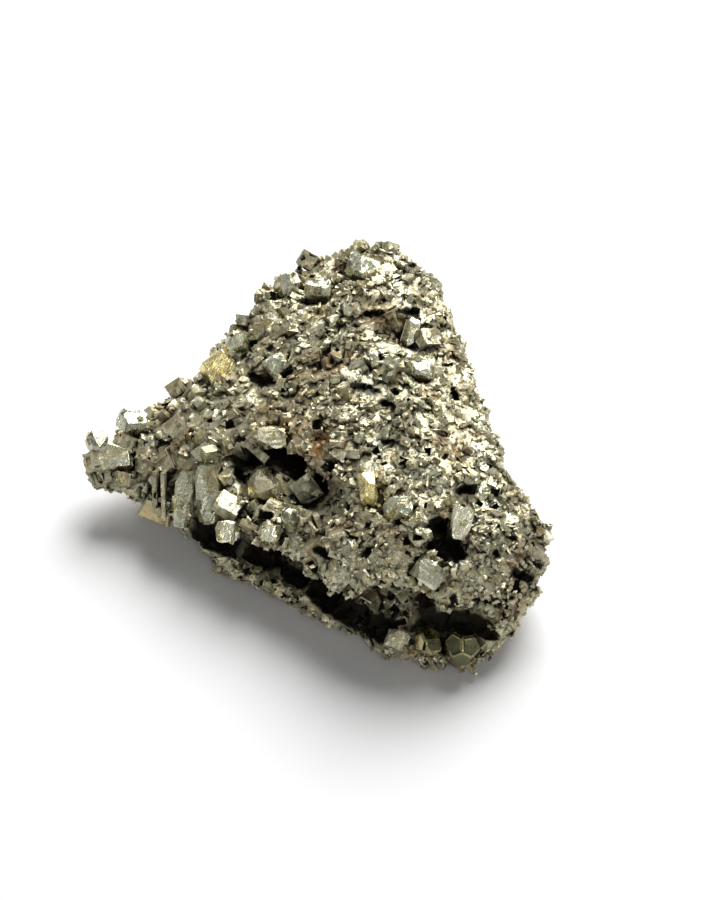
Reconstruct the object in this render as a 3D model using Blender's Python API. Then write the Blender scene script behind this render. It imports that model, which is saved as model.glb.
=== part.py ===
"""A hand-sized pyrite cluster: one intergrown granular mass with larger single crystals standing in it.

Frame: +Z up, -Y towards the front, origin under the middle of the specimen on the surface that it rests on.
The mass is surveyed like a piece of ground: stations round its rim, spot heights on its top and a flat
broken foot. Pockets are then cut, the surface is roughened, and each crystal gets its own seat.
"""

import math
from dataclasses import dataclass
from enum import Enum

import bmesh
import bpy
from mathutils import Euler, Matrix, Vector
from mathutils.bvhtree import BVHTree
from mathutils.geometry import delaunay_2d_cdt

MM = 0.001

# Driving dimensions, in millimetres.
GRAIN_STEP = 1.25  # spacing of the mesh that carries the roughness
SWELL = 1.5  # relief of the broad lumps
GRIT = 1.1  # relief of the grain-sized lumps
TRIANGLE_SHARE = 0.46  # share of the remeshed triangles that is kept
SEAT_GAP = 0.3  # clearance between a crystal and its seat in the mass
EDGE_WEAR = 0.05  # worn edge of a crystal, as a share of its smallest side
FOOT_LEVEL = 0.9  # depth of the foot's roughness that is broken away flat


class Form(Enum):
    """Crystal habits of pyrite that the specimen shows."""

    BLOCK = "block"
    PYRITOHEDRON = "pyritohedron"
    WEDGE = "wedge"


@dataclass(frozen=True)
class Station:
    """One place round the side: its rim, its lower lip and its point on the flat foot, in millimetres."""

    rim: tuple
    lip: tuple
    foot: tuple


@dataclass(frozen=True)
class Pocket:
    """A hollow in the mass: centre and full size in millimetres, and its turn in degrees."""

    name: str
    centre: tuple
    size: tuple
    turn: tuple = (0.0, 0.0, 0.0)


@dataclass(frozen=True)
class Crystal:
    """A single crystal: where it meets the surface, its size, its turn and how deep it sits."""

    name: str
    place: tuple
    size: tuple
    turn: tuple
    finish: str
    form: Form = Form.BLOCK
    sunk: float = 0.15  # share of its smallest side that its centre lies under the surface


# Stations run anticlockwise seen from above: left tip, front, right side, back.
STATIONS = (
    Station((-33.0, -1.0, 8.5), (-31.0, -0.5, 5.5), (-14.0, -3.0)),
    Station((-30.3, -3.8, 7.0), (-27.0, -3.8, 4.5), (-14.0, -5.5)),
    Station((-23.5, -7.3, 7.0), (-22.0, -7.0, 3.8), (-13.5, -9.0)),
    Station((-18.5, -11.7, 8.5), (-18.0, -11.5, 4.0), (-13.0, -12.0)),
    Station((-13.7, -14.4, 9.5), (-13.9, -15.5, 3.5), (-11.5, -14.5)),
    Station((-8.9, -17.2, 10.5), (-9.2, -18.3, 3.0), (-8.0, -17.0)),
    Station((-3.6, -20.0, 11.5), (-3.8, -21.0, 3.0), (-3.5, -19.5)),
    Station((1.5, -24.5, 12.0), (1.5, -24.3, 3.0), (1.0, -22.5)),
    Station((6.0, -26.7, 13.5), (6.7, -27.6, 3.2), (6.0, -25.5)),
    Station((10.5, -27.2, 15.0), (12.0, -30.0, 3.5), (11.0, -28.0)),
    Station((15.5, -27.7, 14.5), (17.0, -31.3, 3.5), (15.5, -30.0)),
    Station((20.6, -27.0, 12.0), (22.0, -30.5, 3.5), (19.0, -29.5)),
    Station((25.2, -25.0, 10.0), (26.3, -27.2, 4.5), (22.5, -25.5)),
    Station((28.8, -23.0, 9.0), (28.3, -23.5, 5.0), (24.5, -21.0)),
    Station((30.8, -19.0, 12.5), (29.5, -17.5, 5.0), (25.5, -15.5)),
    Station((29.3, -14.5, 14.5), (27.5, -11.0, 5.0), (23.5, -9.5)),
    Station((25.2, -8.0, 16.7), (25.0, -5.0, 5.0), (21.5, -4.0)),
    Station((23.0, -0.8, 17.7), (23.0, 1.0, 5.0), (19.5, 1.0)),
    Station((21.0, 7.3, 18.7), (20.8, 8.5, 5.5), (17.0, 7.5)),
    Station((19.2, 14.5, 19.3), (18.6, 15.5, 6.0), (14.5, 13.0)),
    Station((17.0, 21.4, 20.2), (16.0, 22.0, 7.0), (11.5, 17.5)),
    Station((13.8, 26.8, 20.3), (12.5, 26.5, 8.0), (8.5, 20.5)),
    Station((9.3, 30.6, 20.0), (8.5, 29.0, 9.0), (5.5, 22.5)),
    Station((4.0, 31.2, 19.5), (3.5, 28.8, 9.0), (2.0, 22.0)),
    Station((-0.9, 28.2, 19.0), (-1.0, 25.5, 8.5), (-1.5, 19.5)),
    Station((-5.7, 26.0, 18.0), (-5.5, 23.0, 8.0), (-4.5, 16.0)),
    Station((-10.6, 20.9, 17.3), (-9.5, 18.5, 7.0), (-7.5, 12.0)),
    Station((-15.2, 14.4, 15.3), (-14.2, 12.5, 6.0), (-10.5, 8.0)),
    Station((-20.8, 9.1, 13.2), (-19.5, 7.5, 5.5), (-12.5, 4.0)),
    Station((-23.7, 5.8, 12.2), (-22.8, 4.8, 5.5), (-13.5, 1.5)),
    Station((-28.0, 3.4, 11.0), (-27.0, 2.8, 5.5), (-14.0, 0.0)),
    Station((-32.2, 1.4, 10.0), (-30.0, 1.0, 5.5), (-14.2, -1.5)),
)

# Spot heights of the top, in millimetres, by the feature that each belongs to.
SPOT_HEIGHTS = {
    "high plateau": (
        (4.0, 24.5, 20.5),
        (-0.2, 21.7, 19.5),
        (-4.3, 18.5, 18.5),
        (4.0, 15.1, 20.5),
        (10.8, 10.5, 20.5),
        (15.5, 8.0, 20.0),
        (-8.3, 13.2, 17.0),
        (-1.3, 8.6, 19.5),
        (6.7, 3.6, 21.0),
        (14.6, 0.5, 20.5),
        (-14.4, 8.0, 14.5),
        (-9.3, 3.5, 17.0),
        (-2.5, -0.7, 19.3),
        (4.1, -6.4, 20.5),
        (11.8, -8.6, 21.0),
        (19.1, -6.4, 18.5),
    ),
    "back lobe": ((10.2, 21.2, 22.5), (13.0, 17.9, 21.8), (9.5, 16.0, 22.5)),
    "left shoulder": (
        (-28.4, -0.5, 10.5),
        (-25.0, 0.5, 11.5),
        (-21.5, 0.5, 12.2),
        (-17.5, 1.3, 14.2),
        (-13.4, -1.0, 15.5),
    ),
    "ledge": ((-9.2, -2.9, 16.8), (-4.6, -5.5, 18.0), (-1.0, -8.9, 18.5), (2.4, -11.6, 18.5)),
    "gully": (
        (-9.6, -4.2, 12.8),
        (-6.9, -6.0, 12.3),
        (-3.3, -8.6, 12.3),
        (-0.7, -10.6, 12.3),
        (1.8, -12.6, 12.8),
    ),
    "terrace": (
        (-12.6, -5.6, 13.3),
        (-16.3, -5.8, 12.3),
        (-20.7, -5.6, 10.0),
        (-12.0, -9.6, 12.8),
        (-15.8, -10.2, 11.0),
        (-7.3, -10.6, 13.3),
        (-9.7, -13.8, 12.0),
        (-3.7, -14.0, 13.8),
        (-0.3, -17.0, 14.8),
        (-4.8, -17.3, 13.0),
    ),
    "front dome": (
        (3.5, -16.6, 17.8),
        (3.2, -21.6, 17.2),
        (7.9, -16.5, 19.8),
        (7.3, -24.4, 17.3),
        (12.9, -25.2, 17.8),
        (11.7, -21.0, 20.6),
    ),
    "right slope": (
        (16.8, -16.2, 19.6),
        (21.2, -20.4, 17.6),
        (23.1, -23.2, 14.6),
        (18.6, -25.2, 16.0),
        (26.5, -18.6, 15.6),
    ),
}

POCKETS = (
    Pocket("gully_undercut", (-3.6, -6.6, 13.6), (13.0, 4.6, 4.6), (12, 0, -36)),
    Pocket("recess_left", (-11.3, -13.8, 6.9), (17.0, 13.5, 5.6), (0, 8, -28)),
    Pocket("recess_middle", (-2.8, -18.4, 7.4), (12.5, 11.5, 5.0), (0, 0, -30)),
    Pocket("recess_low", (5.8, -24.6, 7.0), (14.0, 12.0, 5.4), (0, 4, -28)),
    Pocket("recess_under_dome", (10.5, -27.4, 10.4), (11.0, 7.0, 4.6), (0, 0, -12)),
    Pocket("cavity_right", (17.0, -29.8, 7.4), (14.0, 9.0, 5.4), (0, 0, 4)),
    Pocket("hole_right", (16.3, -21.6, 16.6), (5.6, 4.4, 8.0), (18, 0, -35)),
    Pocket("hole_behind", (18.8, -14.6, 17.6), (3.6, 2.8, 5.2), (20, 0, 10)),
    Pocket("slit_under_lobe", (10.0, 13.6, 20.2), (8.0, 4.4, 2.8), (0, 0, -6)),
    Pocket("crack_middle", (7.0, 1.2, 20.6), (8.0, 2.0, 3.6), (0, 0, -28)),
    Pocket("crescent_left", (-6.6, 5.6, 17.8), (6.4, 2.4, 4.4), (0, 0, 18)),
    Pocket("pit_left", (-16.0, 8.6, 14.2), (2.8, 2.2, 3.6), (0, 0, 25)),
)

TWELVE_FACED = Form.PYRITOHEDRON

CRYSTALS = (
    Crystal("tip_crystal", (-28.4, -2.7, 10.2), (4.4, 3.4, 3.2), (14, -12, 8), "grey"),
    Crystal("tip_rear_crystal", (-31.2, 3.2, 9.4), (2.2, 2.2, 2.2), (20, 15, 35), "grey"),
    Crystal("shoulder_crystal", (-25.4, 3.4, 11.8), (3.8, 2.8, 2.8), (10, 25, 20), "grey"),
    Crystal("column_left", (-18.4, -8.9, 10.8), (2.0, 2.6, 7.0), (-42, 4, -2), "grey", sunk=0.05),
    Crystal("column_right", (-14.8, -8.9, 11.4), (2.6, 3.0, 7.0), (-40, -3, 2), "grey", sunk=0.05),
    Crystal("undercut_prism", (-21.6, -7.2, 6.6), (4.4, 3.2, 3.0), (25, 10, -20), "grey", Form.WEDGE),
    Crystal("front_chip", (-12.3, -14.2, 10.4), (2.6, 2.4, 2.6), (30, 12, 18), "bright"),
    Crystal("terrace_cube", (-7.0, -8.6, 13.6), (3.6, 3.4, 3.8), (28, -14, -18), "bright"),
    Crystal("gully_cube", (-6.9, -4.2, 17.4), (3.2, 2.6, 3.2), (48, 10, 16), "bright"),
    Crystal("terrace_nodule", (-3.8, -14.4, 14.2), (2.0, 2.0, 2.0), (15, 20, 30), "grey", TWELVE_FACED),
    Crystal("terrace_chip", (-6.4, -16.8, 13.2), (2.2, 1.8, 2.0), (35, -15, -20), "bright"),
    Crystal("gold_blade", (6.0, -14.6, 19.6), (1.8, 2.0, 4.0), (-38, -6, 4), "gold", sunk=0.1),
    Crystal("dome_cube", (10.3, -18.0, 20.6), (2.6, 2.6, 2.6), (20, 14, 12), "grey"),
    Crystal("hole_cube", (18.4, -19.2, 19.0), (2.2, 2.6, 3.8), (-34, 16, 0), "bright", sunk=0.1),
    Crystal("brow_cube", (14.0, -26.4, 17.0), (3.6, 2.6, 2.6), (30, 20, -32), "grey"),
    Crystal("cavity_crystal_large", (18.9, -29.0, 6.4), (4.2, 4.2, 4.2), (12, 24, 30), "dark", TWELVE_FACED),
    Crystal("cavity_crystal_small", (14.4, -28.6, 6.0), (3.4, 3.4, 3.4), (34, 8, 12), "dark", TWELVE_FACED),
    Crystal("lip_cube", (8.2, -28.6, 6.8), (2.6, 2.2, 2.2), (18, 22, -10), "grey"),
    Crystal("summit_facet", (5.6, 24.6, 20.6), (4.8, 4.4, 3.0), (32, -6, -24), "grey"),
    Crystal("summit_cube", (-0.6, 21.6, 19.6), (3.2, 3.0, 3.4), (16, 6, -4), "grey"),
    Crystal("summit_rear_cube", (-4.9, 23.8, 18.0), (2.8, 2.6, 2.6), (25, 20, 30), "grey"),
    Crystal("crescent_crystal", (-6.2, 8.6, 18.6), (2.6, 2.4, 2.4), (30, -18, 28), "grey"),
    Crystal("rim_cube", (-11.4, 13.4, 16.8), (2.8, 2.2, 2.4), (12, -24, 10), "grey"),
    Crystal("rim_plate", (-14.4, 10.6, 15.2), (4.2, 3.4, 1.8), (8, -20, 30), "gold", Form.WEDGE),
    Crystal("plateau_crystal", (13.4, 5.6, 20.6), (2.4, 2.2, 2.4), (26, 30, 12), "grey"),
    Crystal("lobe_blade", (12.0, 12.4, 20.6), (1.6, 1.8, 3.6), (-38, 24, 0), "bright", sunk=0.1),
)

# Finish of each kind of surface: linear colour, roughness and metallic value.
FINISHES = {
    "druse": ((0.36, 0.33, 0.22), 0.38, 0.9),
    "grey": ((0.42, 0.42, 0.34), 0.30, 0.95),
    "bright": ((0.66, 0.62, 0.46), 0.22, 1.0),
    "gold": ((0.62, 0.54, 0.28), 0.25, 1.0),
    "dark": ((0.24, 0.22, 0.13), 0.18, 1.0),
}


def clear_scene():
    """Removes whatever the scene holds."""
    for obj in list(bpy.data.objects):
        bpy.data.objects.remove(obj)


def finish_material(name):
    """A plain metallic material from FINISHES, made once."""
    made = bpy.data.materials.get(name)
    if made:
        return made
    colour, roughness, metallic = FINISHES[name]
    made = bpy.data.materials.new(name)
    made.use_nodes = True
    shader = made.node_tree.nodes["Principled BSDF"]
    shader.inputs["Base Color"].default_value = (*colour, 1.0)
    shader.inputs["Roughness"].default_value = roughness
    shader.inputs["Metallic"].default_value = metallic
    return made


def object_from(bm, name, finish=None):
    """Links a new object that holds the bmesh, which is freed."""
    mesh = bpy.data.meshes.new(name)
    bm.to_mesh(mesh)
    bm.free()
    obj = bpy.data.objects.new(name, mesh)
    bpy.context.scene.collection.objects.link(obj)
    if finish:
        mesh.materials.append(finish_material(finish))
    return obj


def millimetres(point):
    """A point given in millimetres, as a vector in metres."""
    return Vector(point) * MM


def turned(degrees):
    """Rotation matrix of an XYZ turn in degrees."""
    return Euler([math.radians(angle) for angle in degrees]).to_matrix().to_4x4()


def add_ring(bm, points):
    """New vertices at the points, which are in millimetres."""
    return [bm.verts.new(millimetres(point)) for point in points]


def bridge(bm, upper, lower):
    """Walls between two rings with the same number of points."""
    for i in range(len(upper)):
        j = (i + 1) % len(upper)
        bm.faces.new((upper[i], lower[i], lower[j], upper[j]))


def survey_block():
    """The specimen's body before it is roughened: surveyed top, side walls and foot."""
    bm = bmesh.new()
    rim = add_ring(bm, [station.rim for station in STATIONS])
    lip = add_ring(bm, [station.lip for station in STATIONS])
    foot = add_ring(bm, [(*station.foot, -FOOT_LEVEL) for station in STATIONS])
    bridge(bm, rim, lip)
    bridge(bm, lip, foot)
    bm.faces.new(list(reversed(foot)))

    spots = [spot for group in SPOT_HEIGHTS.values() for spot in group]
    top = rim + add_ring(bm, spots)
    flat = [Vector(vert.co.xy) for vert in top]
    outline = [(i, (i + 1) % len(rim)) for i in range(len(rim))]
    inside_outline = 1
    triangles = delaunay_2d_cdt(flat, outline, [], inside_outline, 1e-7)[2]
    for corners in triangles:
        bm.faces.new([top[i] for i in corners])
    bmesh.ops.triangulate(bm, faces=bm.faces)
    bmesh.ops.recalc_face_normals(bm, faces=bm.faces)
    return object_from(bm, "pyrite_mass", "druse")


def rough_lump(name, centre, size, turn):
    """A squashed ball with blunt corners, as a cutter."""
    bm = bmesh.new()
    bmesh.ops.create_icosphere(bm, subdivisions=2, radius=0.5)
    for vert in bm.verts:
        # Pulled towards a box, so that a hollow has broken walls and not round ones.
        longest = max(abs(vert.co.x), abs(vert.co.y), abs(vert.co.z))
        boxed = vert.co * (0.5 / longest)
        vert.co = vert.co.lerp(boxed, 0.45)
    frame = Matrix.Translation(millimetres(centre)) @ turned(turn)
    bm.transform(frame @ Matrix.Diagonal((*millimetres(size), 1.0)))
    return object_from(bm, name)


def cut_all(target, cutters, name):
    """Takes the volume of all the cutters out of the target at once."""
    kept = bpy.data.collections.new(name)
    kept.hide_render = True
    bpy.context.scene.collection.children.link(kept)
    for cutter in cutters:
        cutter.hide_render = True
        cutter.display_type = "WIRE"
        kept.objects.link(cutter)
        bpy.context.scene.collection.objects.unlink(cutter)
    modifier = target.modifiers.new(name, "BOOLEAN")
    modifier.operation = "DIFFERENCE"
    modifier.solver = "EXACT"
    modifier.operand_type = "COLLECTION"
    modifier.collection = kept


def relief_texture(name, kind, size):
    """A procedural texture for the roughness, with a grain size in millimetres."""
    made = bpy.data.textures.new(name, kind)
    made.noise_scale = size * MM
    return made


def roughen(target, texture, strength):
    """Pushes the surface in and out along its normals."""
    modifier = target.modifiers.new(texture.name, "DISPLACE")
    modifier.texture = texture
    modifier.texture_coords = "LOCAL"
    modifier.strength = strength * MM
    modifier.mid_level = 0.5


def bake(target):
    """Replaces the object's mesh with its evaluated one and drops its modifiers."""
    graph = bpy.context.evaluated_depsgraph_get()
    mesh = bpy.data.meshes.new_from_object(target.evaluated_get(graph))
    target.modifiers.clear()
    target.data = mesh


def keep_largest_body(target):
    """Drops crumbs that the pockets cut loose."""
    bm = bmesh.new()
    bm.from_mesh(target.data)
    bm.faces.ensure_lookup_table()
    left = set(bm.faces)
    bodies = []
    while left:
        body, edge_of_body = set(), [left.pop()]
        while edge_of_body:
            face = edge_of_body.pop()
            body.add(face)
            joined = [edge for edge in face.edges if len(edge.link_faces) == 2]
            near = {other for edge in joined for other in edge.link_faces} & left
            left -= near
            edge_of_body.extend(near)
        bodies.append(body)
    bodies.sort(key=len)
    crumbs = [face for body in bodies[:-1] for face in body]
    bmesh.ops.delete(bm, geom=crumbs, context="FACES")
    bm.to_mesh(target.data)
    bm.free()


def foot_slab():
    """A slab under the specimen that breaks its foot off flat at Z = 0."""
    bm = bmesh.new()
    width, thickness = 90.0, 12.0
    bmesh.ops.create_cube(bm, size=1.0)
    size = Matrix.Diagonal((*millimetres((width, width, thickness)), 1.0))
    bm.transform(Matrix.Translation(millimetres((0, 0, -thickness / 2))) @ size)
    return object_from(bm, "foot_slab")


def build_mass():
    """The granular mass, with its pockets and its flat foot, before the crystals' seats are cut."""
    mass = survey_block()
    hollows = [rough_lump(pocket.name, pocket.centre, pocket.size, pocket.turn) for pocket in POCKETS]
    cut_all(mass, hollows, "pockets")
    remesh = mass.modifiers.new("grain_mesh", "REMESH")
    remesh.mode = "VOXEL"
    remesh.voxel_size = GRAIN_STEP * MM
    swell = relief_texture("swell", "CLOUDS", 5.0)
    grit = relief_texture("grit", "VORONOI", 2.1)
    grit.distance_metric = "CHEBYCHEV"
    roughen(mass, swell, SWELL)
    roughen(mass, grit, GRIT)
    thin = mass.modifiers.new("thin_out", "DECIMATE")
    thin.ratio = TRIANGLE_SHARE
    cut_all(mass, [foot_slab()], "flat_foot")
    bake(mass)
    keep_largest_body(mass)
    return mass


def block_points():
    """Corners of a unit cube."""
    half = 0.5
    return [Vector((x, y, z)) for x in (-half, half) for y in (-half, half) for z in (-half, half)]


def wedge_points():
    """A block whose top is cut away to a ridge along X."""
    low = [Vector((x, y, -0.5)) for x in (-0.5, 0.5) for y in (-0.5, 0.5)]
    ridge = [Vector((x, y, 0.5)) for x in (-0.3, 0.4) for y in (0.1, 0.3)]
    return low + ridge


def pyritohedron_points():
    """The twenty corners of pyrite's twelve-faced form, in a unit box."""
    roof = 0.5
    corners = [Vector((x, y, z)) for x in (-1, 1) for y in (-1, 1) for z in (-1, 1)]
    for a in (-(1 + roof), 1 + roof):
        for b in (-(1 - roof * roof), 1 - roof * roof):
            corners += [Vector((0, a, b)), Vector((a, b, 0)), Vector((b, 0, a))]
    return [corner / (2 * (1 + roof)) for corner in corners]


CORNERS = {
    Form.BLOCK: block_points,
    Form.WEDGE: wedge_points,
    Form.PYRITOHEDRON: pyritohedron_points,
}


def crystal_mesh(crystal, grown=0.0):
    """A convex crystal about the origin, made larger all round by grown millimetres, with worn edges."""
    bm = bmesh.new()
    size = Vector(crystal.size)
    for corner in CORNERS[crystal.form]():
        bm.verts.new(Vector(c * (s + 2 * grown) for c, s in zip(corner, size)) * MM)
    hull = bmesh.ops.convex_hull(bm, input=bm.verts)
    bmesh.ops.delete(bm, geom=hull["geom_interior"], context="VERTS")
    bmesh.ops.dissolve_limit(bm, angle_limit=math.radians(2), verts=bm.verts, edges=bm.edges)
    if not grown:
        wear = EDGE_WEAR * min(crystal.size) * MM
        bmesh.ops.bevel(bm, geom=bm.edges[:], offset=wear, segments=1, affect="EDGES", profile=0.5)
    bmesh.ops.recalc_face_normals(bm, faces=bm.faces)
    return bm


def crystal_frame(crystal, ground):
    """Where the crystal stands: at the surface nearest to its place, sunk along the surface's normal."""
    place, normal, _, _ = ground.find_nearest(millimetres(crystal.place))
    depth = crystal.sunk * min(crystal.size) * MM
    return Matrix.Translation(place - normal * depth) @ turned(crystal.turn)


def seat_crystals(mass):
    """Every crystal as its own object, each in a seat cut with clearance all round."""
    graph = bpy.context.evaluated_depsgraph_get()
    ground = BVHTree.FromObject(mass, graph)
    seats = []
    for crystal in CRYSTALS:
        frame = crystal_frame(crystal, ground)
        obj = object_from(crystal_mesh(crystal), crystal.name, crystal.finish)
        obj.matrix_world = frame
        seat = object_from(crystal_mesh(crystal, SEAT_GAP), crystal.name + "_seat")
        seat.matrix_world = frame
        seats.append(seat)
    cut_all(mass, seats, "seats")
    bpy.context.view_layer.update()
    bake(mass)
    keep_largest_body(mass)


def centre_on_origin():
    """Moves everything so that the origin is under the middle of the specimen's box, on its foot."""
    bpy.context.view_layer.update()
    shown = [obj for obj in bpy.data.objects if not obj.hide_render]
    corners = [obj.matrix_world @ vert.co for obj in shown for vert in obj.data.vertices]
    low = Vector(min(corner[i] for corner in corners) for i in range(3))
    high = Vector(max(corner[i] for corner in corners) for i in range(3))
    middle = (low + high) / 2
    shift = Matrix.Translation((-middle.x, -middle.y, -low.z))
    for obj in bpy.data.objects:
        obj.matrix_world = shift @ obj.matrix_world


def main():
    """Builds the specimen."""
    clear_scene()
    mass = build_mass()
    seat_crystals(mass)
    centre_on_origin()


main()
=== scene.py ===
"""Looks of the pyrite cluster specimen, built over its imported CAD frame.

Builders work in millimetres in the frame's axes (+X right, -Y front, +Z up) and write meshes in metres.
The mass is a rough core with thousands of grown-together grains joined to it and broken pits cut out of it.
"""

import logging
import math
from dataclasses import dataclass
from enum import Enum
from itertools import product
from typing import Sequence

import bmesh
import bpy
import numpy as np
from mathutils import Euler, Matrix, Vector
from mathutils.bvhtree import BVHTree


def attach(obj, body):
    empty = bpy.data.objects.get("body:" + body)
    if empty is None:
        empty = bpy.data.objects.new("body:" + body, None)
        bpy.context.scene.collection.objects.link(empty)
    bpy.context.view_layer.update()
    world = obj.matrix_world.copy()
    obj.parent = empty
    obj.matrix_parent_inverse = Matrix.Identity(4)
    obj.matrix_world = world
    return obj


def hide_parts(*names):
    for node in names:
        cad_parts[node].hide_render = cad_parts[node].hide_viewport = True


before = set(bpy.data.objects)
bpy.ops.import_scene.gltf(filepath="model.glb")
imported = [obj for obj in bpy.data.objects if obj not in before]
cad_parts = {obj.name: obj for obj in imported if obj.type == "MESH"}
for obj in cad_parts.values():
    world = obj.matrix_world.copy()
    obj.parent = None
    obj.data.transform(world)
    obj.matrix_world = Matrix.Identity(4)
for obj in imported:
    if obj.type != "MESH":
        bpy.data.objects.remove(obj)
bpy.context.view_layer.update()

MM = 0.001
BODY = "root"
LOG = logging.getLogger("pyrite")

Random = np.random.Generator
Socket = bpy.types.NodeSocket
Sockets = dict[str, Socket]
Point = tuple[float, float, float]
Faces = list[tuple[int, ...]]


class Join(Enum):
    """How a solid is combined with another."""

    ADD = "UNION"
    CUT = "DIFFERENCE"
    KEEP = "INTERSECT"


class Habit(Enum):
    """Shapes that pyrite grains grow in."""

    CUBE = "cube"
    BRICK = "brick"
    PLATE = "plate"
    PYRITOHEDRON = "pyritohedron"
    STRIATED = "striated"


@dataclass(frozen=True)
class Shape:
    """A closed polyhedron as plain lists, its longest half side about 0.5."""

    points: np.ndarray
    faces: Faces


def mesh_of(name: str, points: np.ndarray, faces: Faces) -> bpy.types.Mesh:
    """Makes a mesh.

    Args:
        name: name of the mesh.
        points: corner coordinates in millimetres, one row each.
        faces: corner numbers of each face, anticlockwise from outside.

    Returns:
        The mesh, in metres.
    """
    mesh = bpy.data.meshes.new(name)
    mesh.from_pydata((np.asarray(points) * MM).tolist(), [], faces)
    return mesh


class Solid:
    """A closed mesh object that is shaped step by step."""

    def __init__(self, name: str, mesh: bpy.types.Mesh) -> None:
        """Links a new object that holds the mesh.

        Args:
            name: name of the object.
            mesh: its starting mesh.
        """
        self.obj = bpy.data.objects.new(name, mesh)
        bpy.context.scene.collection.objects.link(self.obj)

    @property
    def mesh(self) -> bpy.types.Mesh:
        """The mesh as it is now."""
        return self.obj.data

    def shape_with(self, kind: str, **settings: object) -> None:
        """Runs one modifier and keeps its result.

        Args:
            kind: Blender's name for the modifier's type.
            settings: the modifier's settings by name.
        """
        modifier = self.obj.modifiers.new(kind.lower(), kind)
        for name, value in settings.items():
            setattr(modifier, name, value)
        graph = bpy.context.evaluated_depsgraph_get()
        shaped = bpy.data.meshes.new_from_object(self.obj.evaluated_get(graph))
        self.obj.modifiers.clear()
        old = self.obj.data
        self.obj.data = shaped
        bpy.data.meshes.remove(old)

    def combine(self, how: Join, mesh: bpy.types.Mesh) -> None:
        """Adds, cuts or keeps the volume of another closed mesh, which is then dropped.

        Args:
            how: the operation.
            mesh: the other closed mesh.
        """
        other = bpy.data.objects.new("other", mesh)
        bpy.context.scene.collection.objects.link(other)
        self.shape_with("BOOLEAN", operation=how.value, object=other, solver="MANIFOLD")
        bpy.data.objects.remove(other)
        bpy.data.meshes.remove(mesh)

    def drop_crumbs(self, least: int) -> None:
        """Deletes loose bodies with fewer faces than least.

        Args:
            least: the number of faces from which a body is kept.
        """
        bm = bmesh.new()
        bm.from_mesh(self.mesh)
        left = set(bm.faces)
        crumbs = []
        while left:
            front = [left.pop()]
            body = []
            while front:
                face = front.pop()
                body.append(face)
                near = {other for edge in face.edges for other in edge.link_faces} & left
                left -= near
                front.extend(near)
            if len(body) < least:
                crumbs.extend(body)
        bmesh.ops.delete(bm, geom=crumbs, context="FACES")
        bm.to_mesh(self.mesh)
        bm.free()

    def tree(self) -> BVHTree:
        """Search tree of the present mesh, in metres."""
        polygons = [tuple(face.vertices) for face in self.mesh.polygons]
        return BVHTree.FromPolygons([vert.co for vert in self.mesh.vertices], polygons)

    def corners(self) -> np.ndarray:
        """Coordinates of the vertices in metres, one row each."""
        found = np.empty(len(self.mesh.vertices) * 3)
        self.mesh.vertices.foreach_get("co", found)
        return found.reshape(-1, 3)

    def ride(self, slot: str, *nodes: str) -> None:
        """Puts the piece on its body, in place of CAD nodes.

        Args:
            slot: the record's material slot that it takes its finish from.
            nodes: the CAD nodes that it stands for.
        """
        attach(self.obj, BODY)
        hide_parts(*nodes)


def box_shape(size: Sequence[float] = (1.0, 1.0, 1.0)) -> Shape:
    """A box about the origin.

    Args:
        size: its full sides.

    Returns:
        The shape.
    """
    signs = [(x, y, z) for x in (-0.5, 0.5) for y in (-0.5, 0.5) for z in (-0.5, 0.5)]
    faces = [(0, 1, 3, 2), (4, 6, 7, 5), (0, 4, 5, 1), (2, 3, 7, 6), (0, 2, 6, 4), (1, 5, 7, 3)]
    return Shape(np.array(signs) * np.array(size), faces)


def hull_shape(points: np.ndarray) -> Shape:
    """The convex polyhedron round some points, with flat faces merged.

    Args:
        points: at least four points.

    Returns:
        The shape.
    """
    bm = bmesh.new()
    for point in points:
        bm.verts.new(point)
    hull = bmesh.ops.convex_hull(bm, input=bm.verts)
    inside = [item for item in hull["geom_interior"] if isinstance(item, bmesh.types.BMVert)]
    bmesh.ops.delete(bm, geom=inside, context="VERTS")
    bmesh.ops.dissolve_limit(bm, angle_limit=math.radians(1.5), verts=bm.verts, edges=bm.edges)
    bmesh.ops.recalc_face_normals(bm, faces=bm.faces)
    bm.verts.index_update()
    corners = np.array([tuple(vert.co) for vert in bm.verts])
    faces = [tuple(vert.index for vert in face.verts) for face in bm.faces]
    bm.free()
    return Shape(corners, faces)


def pyritohedron_shape(roof: float = 0.5) -> Shape:
    """Pyrite's form with twelve five-sided faces.

    Args:
        roof: height of the roof over each cube face, as a share of the cube's half side.

    Returns:
        The shape.
    """
    corners = [(x, y, z) for x in (-1, 1) for y in (-1, 1) for z in (-1, 1)]
    for a in (-(1 + roof), 1 + roof):
        for b in (-(1 - roof * roof), 1 - roof * roof):
            corners += [(0, a, b), (a, b, 0), (b, 0, a)]
    return hull_shape(np.array(corners, float) / (2 * (1 + roof)))


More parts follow.
